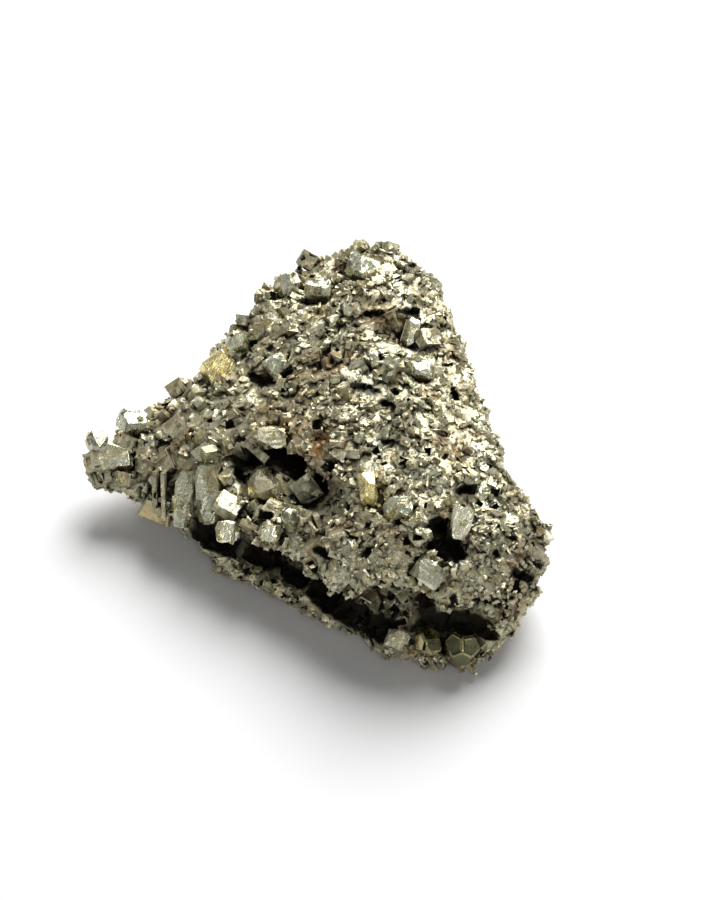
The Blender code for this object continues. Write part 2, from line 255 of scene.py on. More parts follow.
@dataclass(frozen=True)
class StriatedBlock:
    """A block whose faces step in growth lines, each pair of faces at right angles to its neighbours."""

    size: Point
    pitch: float = 0.3
    depth: float = 0.09

    def comb(self, rng: Random, along: int, height: int) -> bpy.types.Mesh:
        """A bar with stepped top and bottom.

        Args:
            rng: source of the steps.
            along: axis that the steps follow one another on.
            height: axis that the steps rise on.

        Returns:
            The bar's mesh, in metres.
        """
        through = 3 - along - height
        reach = self.size[along] / 2
        steps = max(3, int(2 * reach / self.pitch))
        widths = rng.uniform(0.35, 1.65, steps)
        places = np.concatenate([[0.0], np.cumsum(widths)]) / widths.sum() * 2 * reach - reach
        outline: list[tuple[float, float]] = []
        for side in (1, -1):
            drops = self.depth * rng.random(steps) ** 1.6
            slopes = self.depth * 0.35 * rng.uniform(-1, 1, steps)
            edge = []
            for i in range(steps):
                level = self.size[height] / 2 - drops[i]
                edge.append((places[i] + 0.02 * self.pitch, side * (level - max(0.0, slopes[i]))))
                edge.append((places[i + 1] - 0.02 * self.pitch, side * (level - max(0.0, -slopes[i]))))
            outline += edge if side > 0 else edge[::-1]
        count = len(outline)
        points = np.zeros((2 * count, 3))
        for end, sign in ((0, -1.0), (1, 1.0)):
            rows = slice(end * count, (end + 1) * count)
            points[rows, along] = [place for place, _ in outline]
            points[rows, height] = [level for _, level in outline]
            points[rows, through] = sign * self.size[through] * 0.7
        faces: Faces = [tuple(range(count)), tuple(range(2 * count - 1, count - 1, -1))]
        faces += [(i, i + count, (i + 1) % count + count, (i + 1) % count) for i in range(count)]
        mesh = mesh_of("comb", points, faces)
        bm = bmesh.new()
        bm.from_mesh(mesh)
        if bm.calc_volume(signed=True) < 0:
            bmesh.ops.reverse_faces(bm, faces=bm.faces)
        bm.to_mesh(mesh)
        bm.free()
        return mesh

    def solid(self, rng: Random, name: str) -> Solid:
        """The block as a solid about the origin.

        Args:
            rng: source of the steps.
            name: name of the solid's object.

        Returns:
            The solid.
        """
        made = Solid(name, self.comb(rng, 0, 2))
        made.combine(Join.KEEP, self.comb(rng, 1, 0))
        made.combine(Join.KEEP, self.comb(rng, 2, 1))
        return made

    def shape(self, rng: Random) -> Shape:
        """The block as plain lists, in millimetres."""
        made = self.solid(rng, "striated")
        points = made.corners() / MM
        faces = [tuple(face.vertices) for face in made.mesh.polygons]
        mesh = made.mesh
        bpy.data.objects.remove(made.obj)
        bpy.data.meshes.remove(mesh)
        return Shape(points, faces)


NEAR_CELLS = tuple(product((-1, 0, 1), repeat=3))


def random_turns(rng: Random, count: int) -> np.ndarray:
    """Evenly spread random rotation matrices.

    Args:
        rng: source of the turns.
        count: how many.

    Returns:
        An array of count 3 by 3 matrices.
    """
    quaternions = rng.normal(size=(count, 4))
    quaternions /= np.linalg.norm(quaternions, axis=1)[:, None]
    w, x, y, z = quaternions.T
    rows = [
        1 - 2 * (y * y + z * z),
        2 * (x * y - z * w),
        2 * (x * z + y * w),
        2 * (x * y + z * w),
        1 - 2 * (x * x + z * z),
        2 * (y * z - x * w),
        2 * (x * z - y * w),
        2 * (y * z + x * w),
        1 - 2 * (x * x + y * y),
    ]
    return np.stack(rows, 1).reshape(count, 3, 3)


def small_turns(rng: Random, count: int, degrees: float) -> np.ndarray:
    """Random rotation matrices close to no turn at all.

    Args:
        rng: source of the turns.
        count: how many.
        degrees: standard deviation of the turn about each axis.

    Returns:
        An array of count 3 by 3 matrices.
    """
    angles = rng.normal(scale=math.radians(degrees), size=(count, 3))
    about_x, about_y, about_z = (
        [Matrix.Rotation(angle, 3, axis) for angle in column]
        for axis, column in zip("XYZ", angles.T.tolist())
    )
    turns = [x @ y @ z for x, y, z in zip(about_x, about_y, about_z)]
    return np.array([[list(row) for row in turn] for turn in turns]).reshape(count, 3, 3)


@dataclass(frozen=True)
class Zone:
    """A stretch of the surface with grains of its own: how many of each size, from 0 to 1."""

    name: str
    centre: Point
    reach: float
    coarse: float
    medium: float
    plates: float
    fine: float
    pits: float


ZONES = (
    Zone("tip", (-26, -1, 9), 7, 0.9, 0.6, 0.1, 0.3, 0.12),
    Zone("left_terrace", (-15, -7, 12), 7, 1.0, 0.6, 0.2, 0.3, 0.12),
    Zone("terrace", (-5, -13, 13), 7, 0.9, 0.7, 0.3, 0.4, 0.12),
    Zone("gully", (-4, -7, 12), 5, 0.5, 0.5, 0.2, 0.3, 0.5),
    Zone("left_plateau", (-8, 7, 17), 8, 0.9, 0.8, 0.4, 0.4, 0.12),
    Zone("ledge", (-1, 0, 19), 6, 0.3, 0.8, 0.9, 0.6, 0.15),
    Zone("summit", (3, 22, 20), 9, 0.9, 0.8, 0.3, 0.4, 0.12),
    Zone("plateau", (8, 4, 21), 10, 0.5, 0.9, 0.6, 0.6, 0.12),
    Zone("right_slope", (22, -2, 16), 8, 0.1, 0.6, 0.3, 1.0, 0.12),
    Zone("back_right", (19, 15, 18), 8, 0.3, 0.8, 0.2, 0.9, 0.15),
    Zone("dome", (9, -20, 19), 8, 0.4, 1.0, 0.4, 0.8, 0.25),
    Zone("right_front", (25, -21, 13), 7, 0.2, 0.8, 0.5, 1.0, 0.25),
    Zone("lip_left", (-10, -18, 3), 9, 0.0, 0.4, 1.0, 0.35, 1.0),
    Zone("lip_right", (10, -28, 4), 10, 0.0, 0.5, 1.0, 0.35, 1.0),
    Zone("recess", (-6, -15, 7), 8, 0.1, 0.4, 1.0, 0.5, 1.0),
    Zone("back", (-2, 14, 8), 12, 0.7, 0.9, 0.1, 0.4, 0.3),
    Zone("underside", (4, -4, -4), 16, 0.2, 0.6, 0.1, 0.1, 0.2),
)


@dataclass(frozen=True)
class Hollow:
    """A dark hollow: the mouth runs from start to end, and it goes down by depth, towards the back."""

    name: str
    start: Point
    end: Point
    radius: float
    depth: float

    DOWN = np.array([0.0, 0.74, -0.67])

    def mesh(self, rng: Random) -> bpy.types.Mesh:
        """A rough closed lump that fills the hollow.

        Args:
            rng: makes it rough.

        Returns:
            The mesh, in metres.
        """
        length = float(np.linalg.norm(np.subtract(self.end, self.start)))
        count = 8 + int(4 * length * (1 + self.depth) / self.radius**2)
        lump = None
        for number in range(min(count, 44)):
            level = (number + 0.5) / min(count, 44)
            mouth = np.array(self.start) + np.subtract(self.end, self.start) * rng.random()
            middle = mouth + self.DOWN * self.depth * level
            out = rng.normal(size=3)
            middle = middle + out / np.linalg.norm(out) * self.radius * rng.uniform(0.1, 0.6)
            box = box_shape(self.radius * rng.uniform(0.7, 1.5, 3))
            mesh = mesh_of("bite", box.points @ random_turns(rng, 1)[0].T + middle, box.faces)
            if lump is None:
                lump = Solid(self.name, mesh)
            else:
                lump.combine(Join.ADD, mesh)
        mesh = lump.mesh
        bpy.data.objects.remove(lump.obj)
        return mesh

    def nearness(self, points: np.ndarray) -> np.ndarray:
        """How far each point lies outside the hollow's middle, in millimetres.

        Args:
            points: places in millimetres.

        Returns:
            One distance for each point, negative inside.
        """
        along = np.subtract(self.end, self.start)
        down = self.DOWN * self.depth
        away = points - np.array(self.start)
        axes = np.stack([along, down], 1)
        shares = np.clip(np.linalg.lstsq(axes, away.T, rcond=None)[0].T, 0.0, 1.0)
        return np.linalg.norm(away - shares @ axes.T, axis=1) - self.radius


HOLLOWS = (
    Hollow("gully_left", (-9.1, -4.4, 12.6), (-6.6, -1.8, 13.2), 1.8, 2.5),
    Hollow("gully_middle", (-6.2, -2.2, 13.0), (-2.6, -3.6, 12.6), 2.0, 3.0),
    Hollow("gully_end", (-2.2, -4.0, 12.8), (3.0, -9.6, 13.4), 1.9, 3.0),
    Hollow("beside_cube", (-10.6, -5.4, 12.2), (-9.4, -7.0, 11.6), 0.9, 2.2),
    Hollow("under_chip", (-9.2, -12.4, 11.6), (-8.4, -13.0, 11.4), 0.8, 1.8),
    Hollow("recess_one", (-15.0, -12.0, 6.4), (-11.2, -13.4, 5.6), 1.9, 3.0),
    Hollow("recess_two", (-8.2, -14.4, 5.0), (-5.8, -15.6, 4.8), 1.35, 3.0),
    Hollow("recess_three", (-3.4, -17.4, 4.8), (-1.4, -18.6, 4.8), 1.3, 2.6),
    Hollow("recess_low_left", (1.0, -21.0, 5.4), (5.0, -24.4, 4.8), 2.0, 3.0),
    Hollow("recess_low_right", (5.4, -24.6, 5.0), (9.6, -27.0, 4.6), 1.8, 3.0),
    Hollow("under_dome_left", (8.6, -25.4, 12.0), (11.0, -26.2, 11.0), 1.8, 3.5),
    Hollow("under_dome_right", (12.0, -26.0, 11.2), (14.4, -26.6, 9.6), 1.9, 3.0),
    Hollow("dome_crack", (18.0, -27.2, 13.6), (18.2, -27.6, 11.8), 0.6, 2.5),
    Hollow("beside_prism", (-19.6, -9.4, 6.0), (-18.0, -10.0, 5.2), 0.8, 2.0),
    Hollow("crescent_left", (-8.4, 7.2, 16.6), (-6.2, 5.4, 16.8), 0.8, 2.0),
    Hollow("crescent_right", (-6.0, 5.6, 17.0), (-2.6, 7.4, 17.6), 0.8, 2.2),
    Hollow("rim_pit", (-16.6, 11.4, 13.6), (-15.0, 11.6, 13.8), 0.8, 2.2),
    Hollow("crack_left", (5.4, 2.4, 20.2), (8.6, 1.4, 20.2), 0.65, 2.0),
    Hollow("crack_right", (9.2, -0.6, 20.2), (10.6, -1.4, 20.2), 0.6, 1.8),
    Hollow("under_lobe", (10.6, 15.2, 21.0), (14.4, 15.6, 20.4), 0.6, 2.0),
    Hollow("lobe_gap", (7.0, 15.0, 20.8), (9.4, 15.0, 20.8), 0.6, 1.4),
    Hollow("under_blade", (12.0, 10.0, 20.2), (13.6, 9.6, 20.0), 0.7, 1.8),
    Hollow("summit_step", (-1.4, 18.8, 19.2), (1.4, 18.6, 19.4), 0.55, 1.4),
    Hollow("summit_gap", (2.6, 24.4, 20.0), (4.0, 24.8, 20.2), 0.55, 1.6),
    Hollow("speck_hole", (9.4, -7.6, 20.4), (10.6, -7.8, 20.4), 0.5, 1.6),
    Hollow("hole_upper", (15.6, -19.6, 18.2), (18.0, -20.8, 17.8), 1.3, 6.0),
    Hollow("hole_lower", (17.4, -21.2, 17.2), (18.6, -23.4, 16.0), 0.9, 5.0),
    Hollow("hole_behind", (19.0, -14.0, 18.4), (20.6, -13.8, 18.0), 0.7, 3.0),
    Hollow("edge_pit", (23.6, -21.8, 15.2), (23.8, -22.0, 14.8), 0.45, 1.8),
    Hollow("edge_shade", (26.2, -22.8, 12.2), (28.4, -23.0, 11.0), 0.8, 2.2),
    Hollow("cavity_left", (12.6, -28.0, 7.4), (15.6, -28.4, 7.6), 1.6, 2.5),
    Hollow("cavity_middle", (16.6, -27.8, 8.0), (21.0, -28.2, 7.4), 1.8, 2.5),
    Hollow("cavity_right", (22.0, -28.6, 6.4), (23.8, -28.6, 6.2), 0.8, 2.0),
    Hollow("cavity_below", (16.8, -30.8, 4.0), (19.6, -31.0, 3.8), 0.7, 1.2),
    Hollow("dome_left", (0.6, -20.6, 14.2), (2.4, -21.4, 14.0), 0.7, 1.8),
)


@dataclass(frozen=True)
class Landmark:
    """One grain of the mass that stands out: centre and sides in millimetres, turn in degrees."""

    name: str
    centre: Point
    size: Point
    turn: Point
    habit: Habit = Habit.STRIATED


LANDMARKS = (
    Landmark("smooth_hollow_side", (-18.4, 1.4, 11.6), (4.6, 4.4, 3.6), (28, -34, 20), Habit.CUBE),
    Landmark("plate_outer", (-21.0, -6.6, 9.0), (0.7, 2.4, 5.6), (-42, -8, -6)),
    Landmark("plate_middle", (-19.9, -7.4, 9.4), (0.6, 2.6, 6.2), (-40, -4, -4)),
    Landmark("plate_inner", (-16.6, -8.6, 10.4), (0.7, 2.4, 5.8), (-40, 4, 2)),
    Landmark("gully_block", (-11.4, -2.2, 13.2), (2.8, 2.6, 2.6), (38, 16, 30)),
    Landmark("blue_block", (-14.6, -3.2, 12.8), (2.6, 2.2, 2.4), (20, -20, 35), Habit.CUBE),
    Landmark("olive_block", (-9.4, -3.0, 13.0), (2.4, 2.0, 2.2), (35, 8, -25), Habit.CUBE),
    Landmark("gully_slab", (-7.6, -3.6, 13.8), (4.0, 1.2, 1.6), (25, 20, -36)),
    Landmark("small_block", (-11.6, -7.0, 12.4), (2.0, 1.8, 2.0), (30, -10, 40)),
    Landmark("front_block", (-12.0, -9.8, 11.4), (2.6, 2.0, 2.4), (40, 6, -14), Habit.CUBE),
    Landmark("terrace_facet", (-3.4, -7.8, 11.8), (4.0, 2.6, 2.0), (40, 10, -30), Habit.CUBE),
    Landmark("terrace_slope", (-0.6, -9.4, 13.0), (3.6, 4.0, 3.0), (34, -28, 24), Habit.CUBE),
    Landmark("fin_left", (-1.3, -15.6, 13.4), (0.8, 2.0, 4.6), (-36, 8, 12)),
    Landmark("fin_middle", (-0.2, -16.2, 13.8), (0.7, 2.2, 4.4), (-38, 2, 16)),
    Landmark("fin_right", (1.0, -16.8, 14.2), (0.8, 2.0, 4.0), (-34, -4, 20)),
    Landmark("shell_left", (-8.0, -14.2, 10.8), (3.4, 1.0, 3.2), (24, 20, -18)),
    Landmark("shell_right", (-5.0, -16.6, 11.2), (4.4, 1.0, 2.8), (20, 10, -30)),
    Landmark("saddle_block", (7.2, -11.6, 19.0), (2.6, 2.4, 2.2), (28, 10, 40), Habit.CUBE),
    Landmark("saddle_chip", (10.8, -14.6, 19.8), (2.0, 0.9, 1.2), (30, 0, 30)),
    Landmark("hole_wedge", (13.6, -22.0, 18.8), (2.2, 1.8, 1.8), (36, -20, 34), Habit.CUBE),
    Landmark("hole_roof", (20.2, -11.8, 18.4), (3.2, 2.2, 2.0), (22, 14, -8), Habit.PYRITOHEDRON),
    Landmark("upper_block", (5.2, 16.2, 20.2), (2.6, 2.2, 2.0), (26, -8, 8), Habit.CUBE),
    Landmark("upper_chip", (9.6, 17.8, 20.9), (1.6, 1.4, 1.8), (40, 12, -12)),
    Landmark("lobe_block", (15.2, 11.2, 19.6), (2.8, 2.6, 2.4), (18, 28, 30)),
    Landmark("blue_blade", (2.9, 3.4, 19.6), (1.3, 1.6, 2.4), (-34, 6, 10)),
    Landmark("blue_blade_low", (3.9, 1.6, 19.6), (1.5, 1.8, 2.2), (-36, 10, 16)),
    Landmark("white_patch", (-3.4, 4.2, 17.8), (3.0, 2.0, 1.8), (34, -8, -18)),
    Landmark("olive_plate", (2.4, 7.0, 19.4), (2.8, 2.0, 1.6), (34, 20, 26), Habit.CUBE),
    Landmark("striped_block", (12.0, -1.8, 20.2), (1.7, 1.8, 1.8), (30, -14, -24)),
    Landmark("rim_bright", (-9.8, 17.8, 16.6), (1.7, 1.6, 2.0), (44, -14, -20), Habit.CUBE),
    Landmark("rim_sliver", (-8.2, 18.6, 17.0), (0.9, 1.2, 2.2), (-40, 14, -10)),
    Landmark("rim_round", (-6.8, 21.8, 17.4), (3.0, 2.6, 2.4), (20, 10, 20), Habit.PYRITOHEDRON),
    Landmark("summit_left", (-1.0, 27.6, 18.4), (2.6, 2.4, 2.4), (30, 10, -30)),
    Landmark("summit_right", (10.6, 28.6, 19.2), (3.0, 2.4, 2.4), (24, -20, 10), Habit.PYRITOHEDRON),
    Landmark("tip_lower", (-28.8, -2.8, 7.4), (3.0, 2.6, 3.0), (30, -12, 14)),
    Landmark("tip_bright", (-25.2, 0.4, 11.0), (2.2, 1.8, 2.0), (42, 10, -28)),
    Landmark("tip_flake", (-26.0, -4.2, 8.6), (2.2, 1.8, 1.8), (30, 30, 10)),
    Landmark("shoulder_round", (-22.0, 5.2, 11.0), (2.8, 2.6, 2.6), (14, 24, 10), Habit.PYRITOHEDRON),
    Landmark("rim_step", (-18.8, 8.8, 12.4), (2.6, 2.2, 2.2), (30, -30, 18)),
    Landmark("plateau_long", (-2.2, 15.8, 18.6), (2.4, 1.2, 1.4), (30, 4, 24)),
    Landmark("edge_tooth", (29.6, -17.0, 12.6), (2.4, 2.4, 2.4), (20, 30, 30), Habit.CUBE),
)


class Scatter:
    """Points spread over a solid's surface with a least distance between them."""

    def __init__(self, solid: Solid) -> None:
        """Reads the solid's triangles.

        Args:
            solid: the solid to spread points over.
        """
        mesh = solid.mesh
        mesh.calc_loop_triangles()
        corners = solid.corners() / MM
        numbers = np.empty(len(mesh.loop_triangles) * 3, int)
        mesh.loop_triangles.foreach_get("vertices", numbers)
        self.triangles = corners[numbers.reshape(-1, 3)]
        sides = self.triangles[:, 1:] - self.triangles[:, :1]
        normals = np.cross(sides[:, 0], sides[:, 1])
        self.areas = np.linalg.norm(normals, axis=1) / 2
        self.normals = normals / np.maximum(1e-9, 2 * self.areas)[:, None]

    def spread(self, rng: Random, spacing: float) -> tuple[np.ndarray, np.ndarray]:
        """Random points that keep their distance.

        Args:
            rng: source of the points.
            spacing: least distance between two points, in millimetres.

        Returns:
            The points and the surface's normals there.
        """
        count = int(4.0 * self.areas.sum() / spacing**2)
        chosen = rng.choice(len(self.areas), count, p=self.areas / self.areas.sum())
        u, v = rng.random((2, count, 1))
        u, v = np.where(u + v > 1, 1 - u, u), np.where(u + v > 1, 1 - v, v)
        a, b, c = self.triangles[chosen].transpose(1, 0, 2)
        points = a + (b - a) * u + (c - a) * v
        cells: dict[tuple[int, int, int], list[int]] = {}
        keys = np.floor(points / spacing).astype(int)
        kept = []
        limit = spacing * spacing
        for i in range(count):
            x, y, z = keys[i].tolist()
            px, py, pz = points[i].tolist()
            near = (
                other
                for dx, dy, dz in NEAR_CELLS
                for other in cells.get((x + dx, y + dy, z + dz), ())
            )
            if any((qx - px) ** 2 + (qy - py) ** 2 + (qz - pz) ** 2 < limit for qx, qy, qz in near):
                continue
            cells.setdefault((x, y, z), []).append((px, py, pz))
            kept.append(i)
        return points[kept], self.normals[chosen][kept]


def zone_shares(points: np.ndarray, grains: str) -> np.ndarray:
    """How much of something the surface has at each point, blended between the nearest zones.

    Args:
        points: places in millimetres.
        grains: name of the size class.

    Returns:
        One share for each point.
    """
    centres = np.array([zone.centre for zone in ZONES], float)
    reaches = np.array([zone.reach for zone in ZONES])
    values = np.array([getattr(zone, grains) for zone in ZONES])
    distance = np.linalg.norm(points[:, None] - centres[None], axis=2) / reaches
    weight = 1 / (0.05 + distance) ** 6
    return (weight * values).sum(1) / weight.sum(1)


@dataclass(frozen=True)
class Grains:
    """One size class of grains, named as its share in each zone: sides and spacing in millimetres."""

    name: str
    spacing: float
    least: float
    most: float
    habits: tuple[tuple[Habit, float], ...]
    sunk: float
    parallel: float
    climb: float
    clearance: float

    def keeps(self, rng: Random, points: np.ndarray, ground: "Ground") -> np.ndarray:
        """Which places grains of this class may take.

        Args:
            rng: source of the choices.
            points: the places in millimetres.
            ground: what grains keep clear of.

        Returns:
            Whether each place is kept.
        """
        height = ground.height(points)
        low_enough = rng.random(len(points)) < np.clip(1.3 - height / self.climb, 0.06, 1.0)
        in_zone = rng.random(len(points)) < zone_shares(points, self.name)
        return low_enough & in_zone & (ground.room(points) > self.clearance)

    def place(
        self, rng: Random, scatter: Scatter, openness: "Openness", ground: "Ground"
    ) -> "GrainSet":
        """Chooses where the grains stand, how large they are and how they're turned.

        Args:
            rng: source of the choices.
            scatter: the surface.
            openness: gives how open the surface is at each point, from 0 to 1.
            ground: what grains keep clear of.

        Returns:
            The placed grains.
        """
        points, normals = scatter.spread(rng, self.spacing)
        keep = self.keeps(rng, points, ground)
        points, normals = points[keep], normals[keep]
        count = len(points)
        open_share = openness(points, normals)
        skew = rng.random(count) ** 1.8
        sides = (self.least + (self.most - self.least) * skew)[:, None] * rng.uniform(0.72, 1.28, (count, 3))
        sides *= (0.6 + 0.4 * open_share)[:, None]
        depth = sides.mean(1) * (self.sunk + rng.uniform(-0.14, 0.14, count) + 0.2 * (1 - open_share))
        turns = self.turns(rng, points)
        return GrainSet(points - normals * depth[:, None], sides, turns, self.habits)

    def turns(self, rng: Random, points: np.ndarray) -> np.ndarray:
        """Turns of the grains: neighbours that grew together lie nearly parallel.

        Args:
            rng: source of the turns.
            points: the grains' places.

        Returns:
            One rotation matrix for each grain.
        """
        seeds = points[rng.choice(len(points), max(1, len(points) // 14), replace=False)]
        colony_turns = random_turns(rng, len(seeds))
        nearest = np.empty(len(points), int)
        for start in range(0, len(points), 2000):
            rows = slice(start, start + 2000)
            nearest[rows] = np.linalg.norm(points[rows, None] - seeds[None], axis=2).argmin(1)
        colony = np.matmul(colony_turns[nearest], small_turns(rng, len(points), 9.0))
        loose = random_turns(rng, len(points))
        together = rng.random(len(points)) < self.parallel
        return np.where(together[:, None, None], colony, loose)


COARSE_HABITS = ((Habit.STRIATED, 0.45), (Habit.PYRITOHEDRON, 0.15), (Habit.CUBE, 0.4))
COARSE = Grains("coarse", 2.0, 2.0, 4.0, COARSE_HABITS, 0.36, 0.25, 2.5, 0.7)
MEDIUM_HABITS = ((Habit.CUBE, 0.5), (Habit.BRICK, 0.25), (Habit.PYRITOHEDRON, 0.12), (Habit.STRIATED, 0.13))
MEDIUM = Grains("medium", 1.0, 1.0, 2.1, MEDIUM_HABITS, 0.34, 0.4, 1.0, 0.15)
PLATES = Grains("plates", 0.9, 1.0, 2.0, ((Habit.PLATE, 1.0),), 0.25, 0.3, 1.6, 0.0)
FINE = Grains("fine", 0.56, 0.4, 1.0, ((Habit.CUBE, 0.6), (Habit.BRICK, 0.4)), 0.3, 0.5, 1.2, 0.1)
PITS = Grains("pits", 1.15, 0.7, 2.2, ((Habit.CUBE, 0.4), (Habit.BRICK, 0.6)), 0.3, 0.3, 9.0, 0.3)


@dataclass
class GrainSet:
    """Placed grains of one size class."""

    places: np.ndarray
    sides: np.ndarray
    turns: np.ndarray
    habits: tuple[tuple[Habit, float], ...]

    def batches(self) -> list[np.ndarray]:
        """Groups the grains so that none touches another of its own group.

        Returns:
            The numbers of the grains of each group.
        """
        reach = np.linalg.norm(self.sides, axis=1) / 2
        cell = 2 * reach.max()
        keys = np.floor(self.places / cell).astype(int)
        cells: dict[tuple[int, int, int], list[tuple[float, float, float, float, int]]] = {}
        group = np.empty(len(self.places), int)
        for i in range(len(self.places)):
            x, y, z = keys[i].tolist()
            px, py, pz = self.places[i].tolist()
            r = float(reach[i])
            used = set()
            for dx, dy, dz in NEAR_CELLS:
                for qx, qy, qz, s, colour in cells.get((x + dx, y + dy, z + dz), ()):
                    if (qx - px) ** 2 + (qy - py) ** 2 + (qz - pz) ** 2 < (r + s) ** 2:
                        used.add(colour)
            colour = 0
            while colour in used:
                colour += 1
            group[i] = colour
            cells.setdefault((x, y, z), []).append((px, py, pz, r, colour))
        return [np.nonzero(group == number)[0] for number in range(group.max() + 1)]

    def mesh(self, rng: Random, rows: np.ndarray, shapes: dict[Habit, list[Shape]]) -> bpy.types.Mesh:
        """One mesh of several separate grains.

        Args:
            rng: chooses each grain's habit and shape.
            rows: the numbers of the grains.
            shapes: shapes to choose from, with sides of about one.

        Returns:
            The mesh, in metres.
        """
        names = [habit for habit, _ in self.habits]
        chances = np.array([chance for _, chance in self.habits])
        chosen = rng.choice(len(names), len(rows), p=chances / chances.sum())
        points: list[np.ndarray] = []
        faces: Faces = []
        start = 0
        for row, number in zip(rows, chosen):
            choices = shapes[names[number]]
            shape = choices[int(rng.integers(len(choices)))]
            points.append((shape.points * self.sides[row]) @ self.turns[row].T + self.places[row])
            faces += [tuple(start + corner for corner in face) for face in shape.faces]
            start += len(shape.points)
        return mesh_of("grains", np.concatenate(points), faces)


class Openness:
    """How much open space a surface point sees."""

    def __init__(self, solid: Solid, reach: float, rays: int = 9) -> None:
        """Prepares the rays.

        Args:
            solid: the solid that hides the view.
            reach: how far a ray looks, in millimetres.
            rays: rays for each point.
        """
        self.tree = solid.tree()
        self.reach = reach
        golden = math.pi * (3 - math.sqrt(5))
        heights = (np.arange(rays) + 0.5) / rays
        rings = np.sqrt(1 - heights**2)
        angles = golden * np.arange(rays)
        self.rays = np.stack([rings * np.cos(angles), rings * np.sin(angles), heights + 0.15], 1)

    def distances(self, points: np.ndarray, normals: np.ndarray) -> np.ndarray:
        """How far each ray gets.

        Args:
            points: places in millimetres.
            normals: directions out of the surface.

        Returns:
            One row for each point with each ray's length in millimetres, at most the reach.
        """
        found = np.full((len(points), len(self.rays)), self.reach)
        rays = [Vector(ray) for ray in self.rays]
        for i, (point, normal) in enumerate(zip(points, normals)):
            out = Vector(normal)
            turn = out.to_track_quat("Z", "Y").to_matrix()
            start = Vector(point) * MM + out * 0.02 * MM
            for j, ray in enumerate(rays):
                hit = self.tree.ray_cast(start, turn @ ray, self.reach * MM)
                if hit[0] is not None:
                    found[i, j] = hit[3] / MM
        return found

    def __call__(self, points: np.ndarray, normals: np.ndarray) -> np.ndarray:
        """Share of rays that leave each point freely, from 0 to 1."""
        return (self.distances(points, normals) >= self.reach).mean(1)


class Ground:
    """What grains keep clear of: hollows, single crystals and the tops of larger grains."""

    def __init__(self, core: Solid, blocks: Sequence["Block"]) -> None:
        """Keeps the core's surface and the crystals' boxes.

        Args:
            core: the mass before grains are joined to it.
            blocks: the single crystals' boxes.
        """
        self.tree = core.tree()
        self.blocks = blocks

    def height(self, points: np.ndarray) -> np.ndarray:
        """How far each point stands off the core, in millimetres."""
        return np.array([self.tree.find_nearest(Vector(point) * MM)[3] / MM for point in points])

    CRYSTAL_MARGIN = 0.35

    def room(self, points: np.ndarray) -> np.ndarray:
        """How far each point lies from the nearest hollow or single crystal.

        Args:
            points: places in millimetres.

        Returns:
            One distance for each point, negative inside one.
        """
        gaps = [hollow.nearness(points) for hollow in HOLLOWS]
        gaps += [block.gap(points) + self.CRYSTAL_MARGIN for block in self.blocks]
        return np.min(gaps, axis=0)


@dataclass
class Block:
    """The box round a single crystal: centre and sides in millimetres, axes as the rows of a turn."""

    centre: np.ndarray
    axes: np.ndarray
    size: np.ndarray

    @classmethod
    def of_node(cls, node: str) -> "Block":
        """Measures a CAD node.

        Args:
            node: the node's name.

        Returns:
            Its box.
        """
        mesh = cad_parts[node].data
        faces = sorted(mesh.polygons, key=lambda face: -face.area)
        first = np.array(faces[0].normal)
        second = next(np.array(face.normal) for face in faces if abs(first @ np.array(face.normal)) < 0.4)
        second -= first * (first @ second)
        second /= np.linalg.norm(second)
        axes = np.array([first, second, np.cross(first, second)])
        points = np.array([tuple(vert.co) for vert in mesh.vertices]) / MM @ axes.T
        low, high = points.min(0), points.max(0)
        return cls((low + high) / 2 @ axes, axes, high - low)

    def turned_to(self, way: Point) -> "Block":
        """The same box, turned so that its nearest face looks one way.

        Args:
            way: the way that the face looks afterwards.

        Returns:
            The turned box.
        """
        goal = Vector(way).normalized()
        number = int(np.abs(self.axes @ np.array(goal)).argmax())
        axis = Vector(self.axes[number])
        if axis.dot(goal) < 0:
            axis.negate()
        turn = np.array(axis.rotation_difference(goal).to_matrix())
        return Block(self.centre, self.axes @ turn.T, self.size)

    def gap(self, points: np.ndarray) -> np.ndarray:
        """Distance from each point to the box, negative inside it."""
        away = np.abs((points - self.centre) @ self.axes.T) - self.size / 2
        return np.where((away < 0).all(1), away.max(1), np.linalg.norm(np.maximum(away, 0), axis=1))


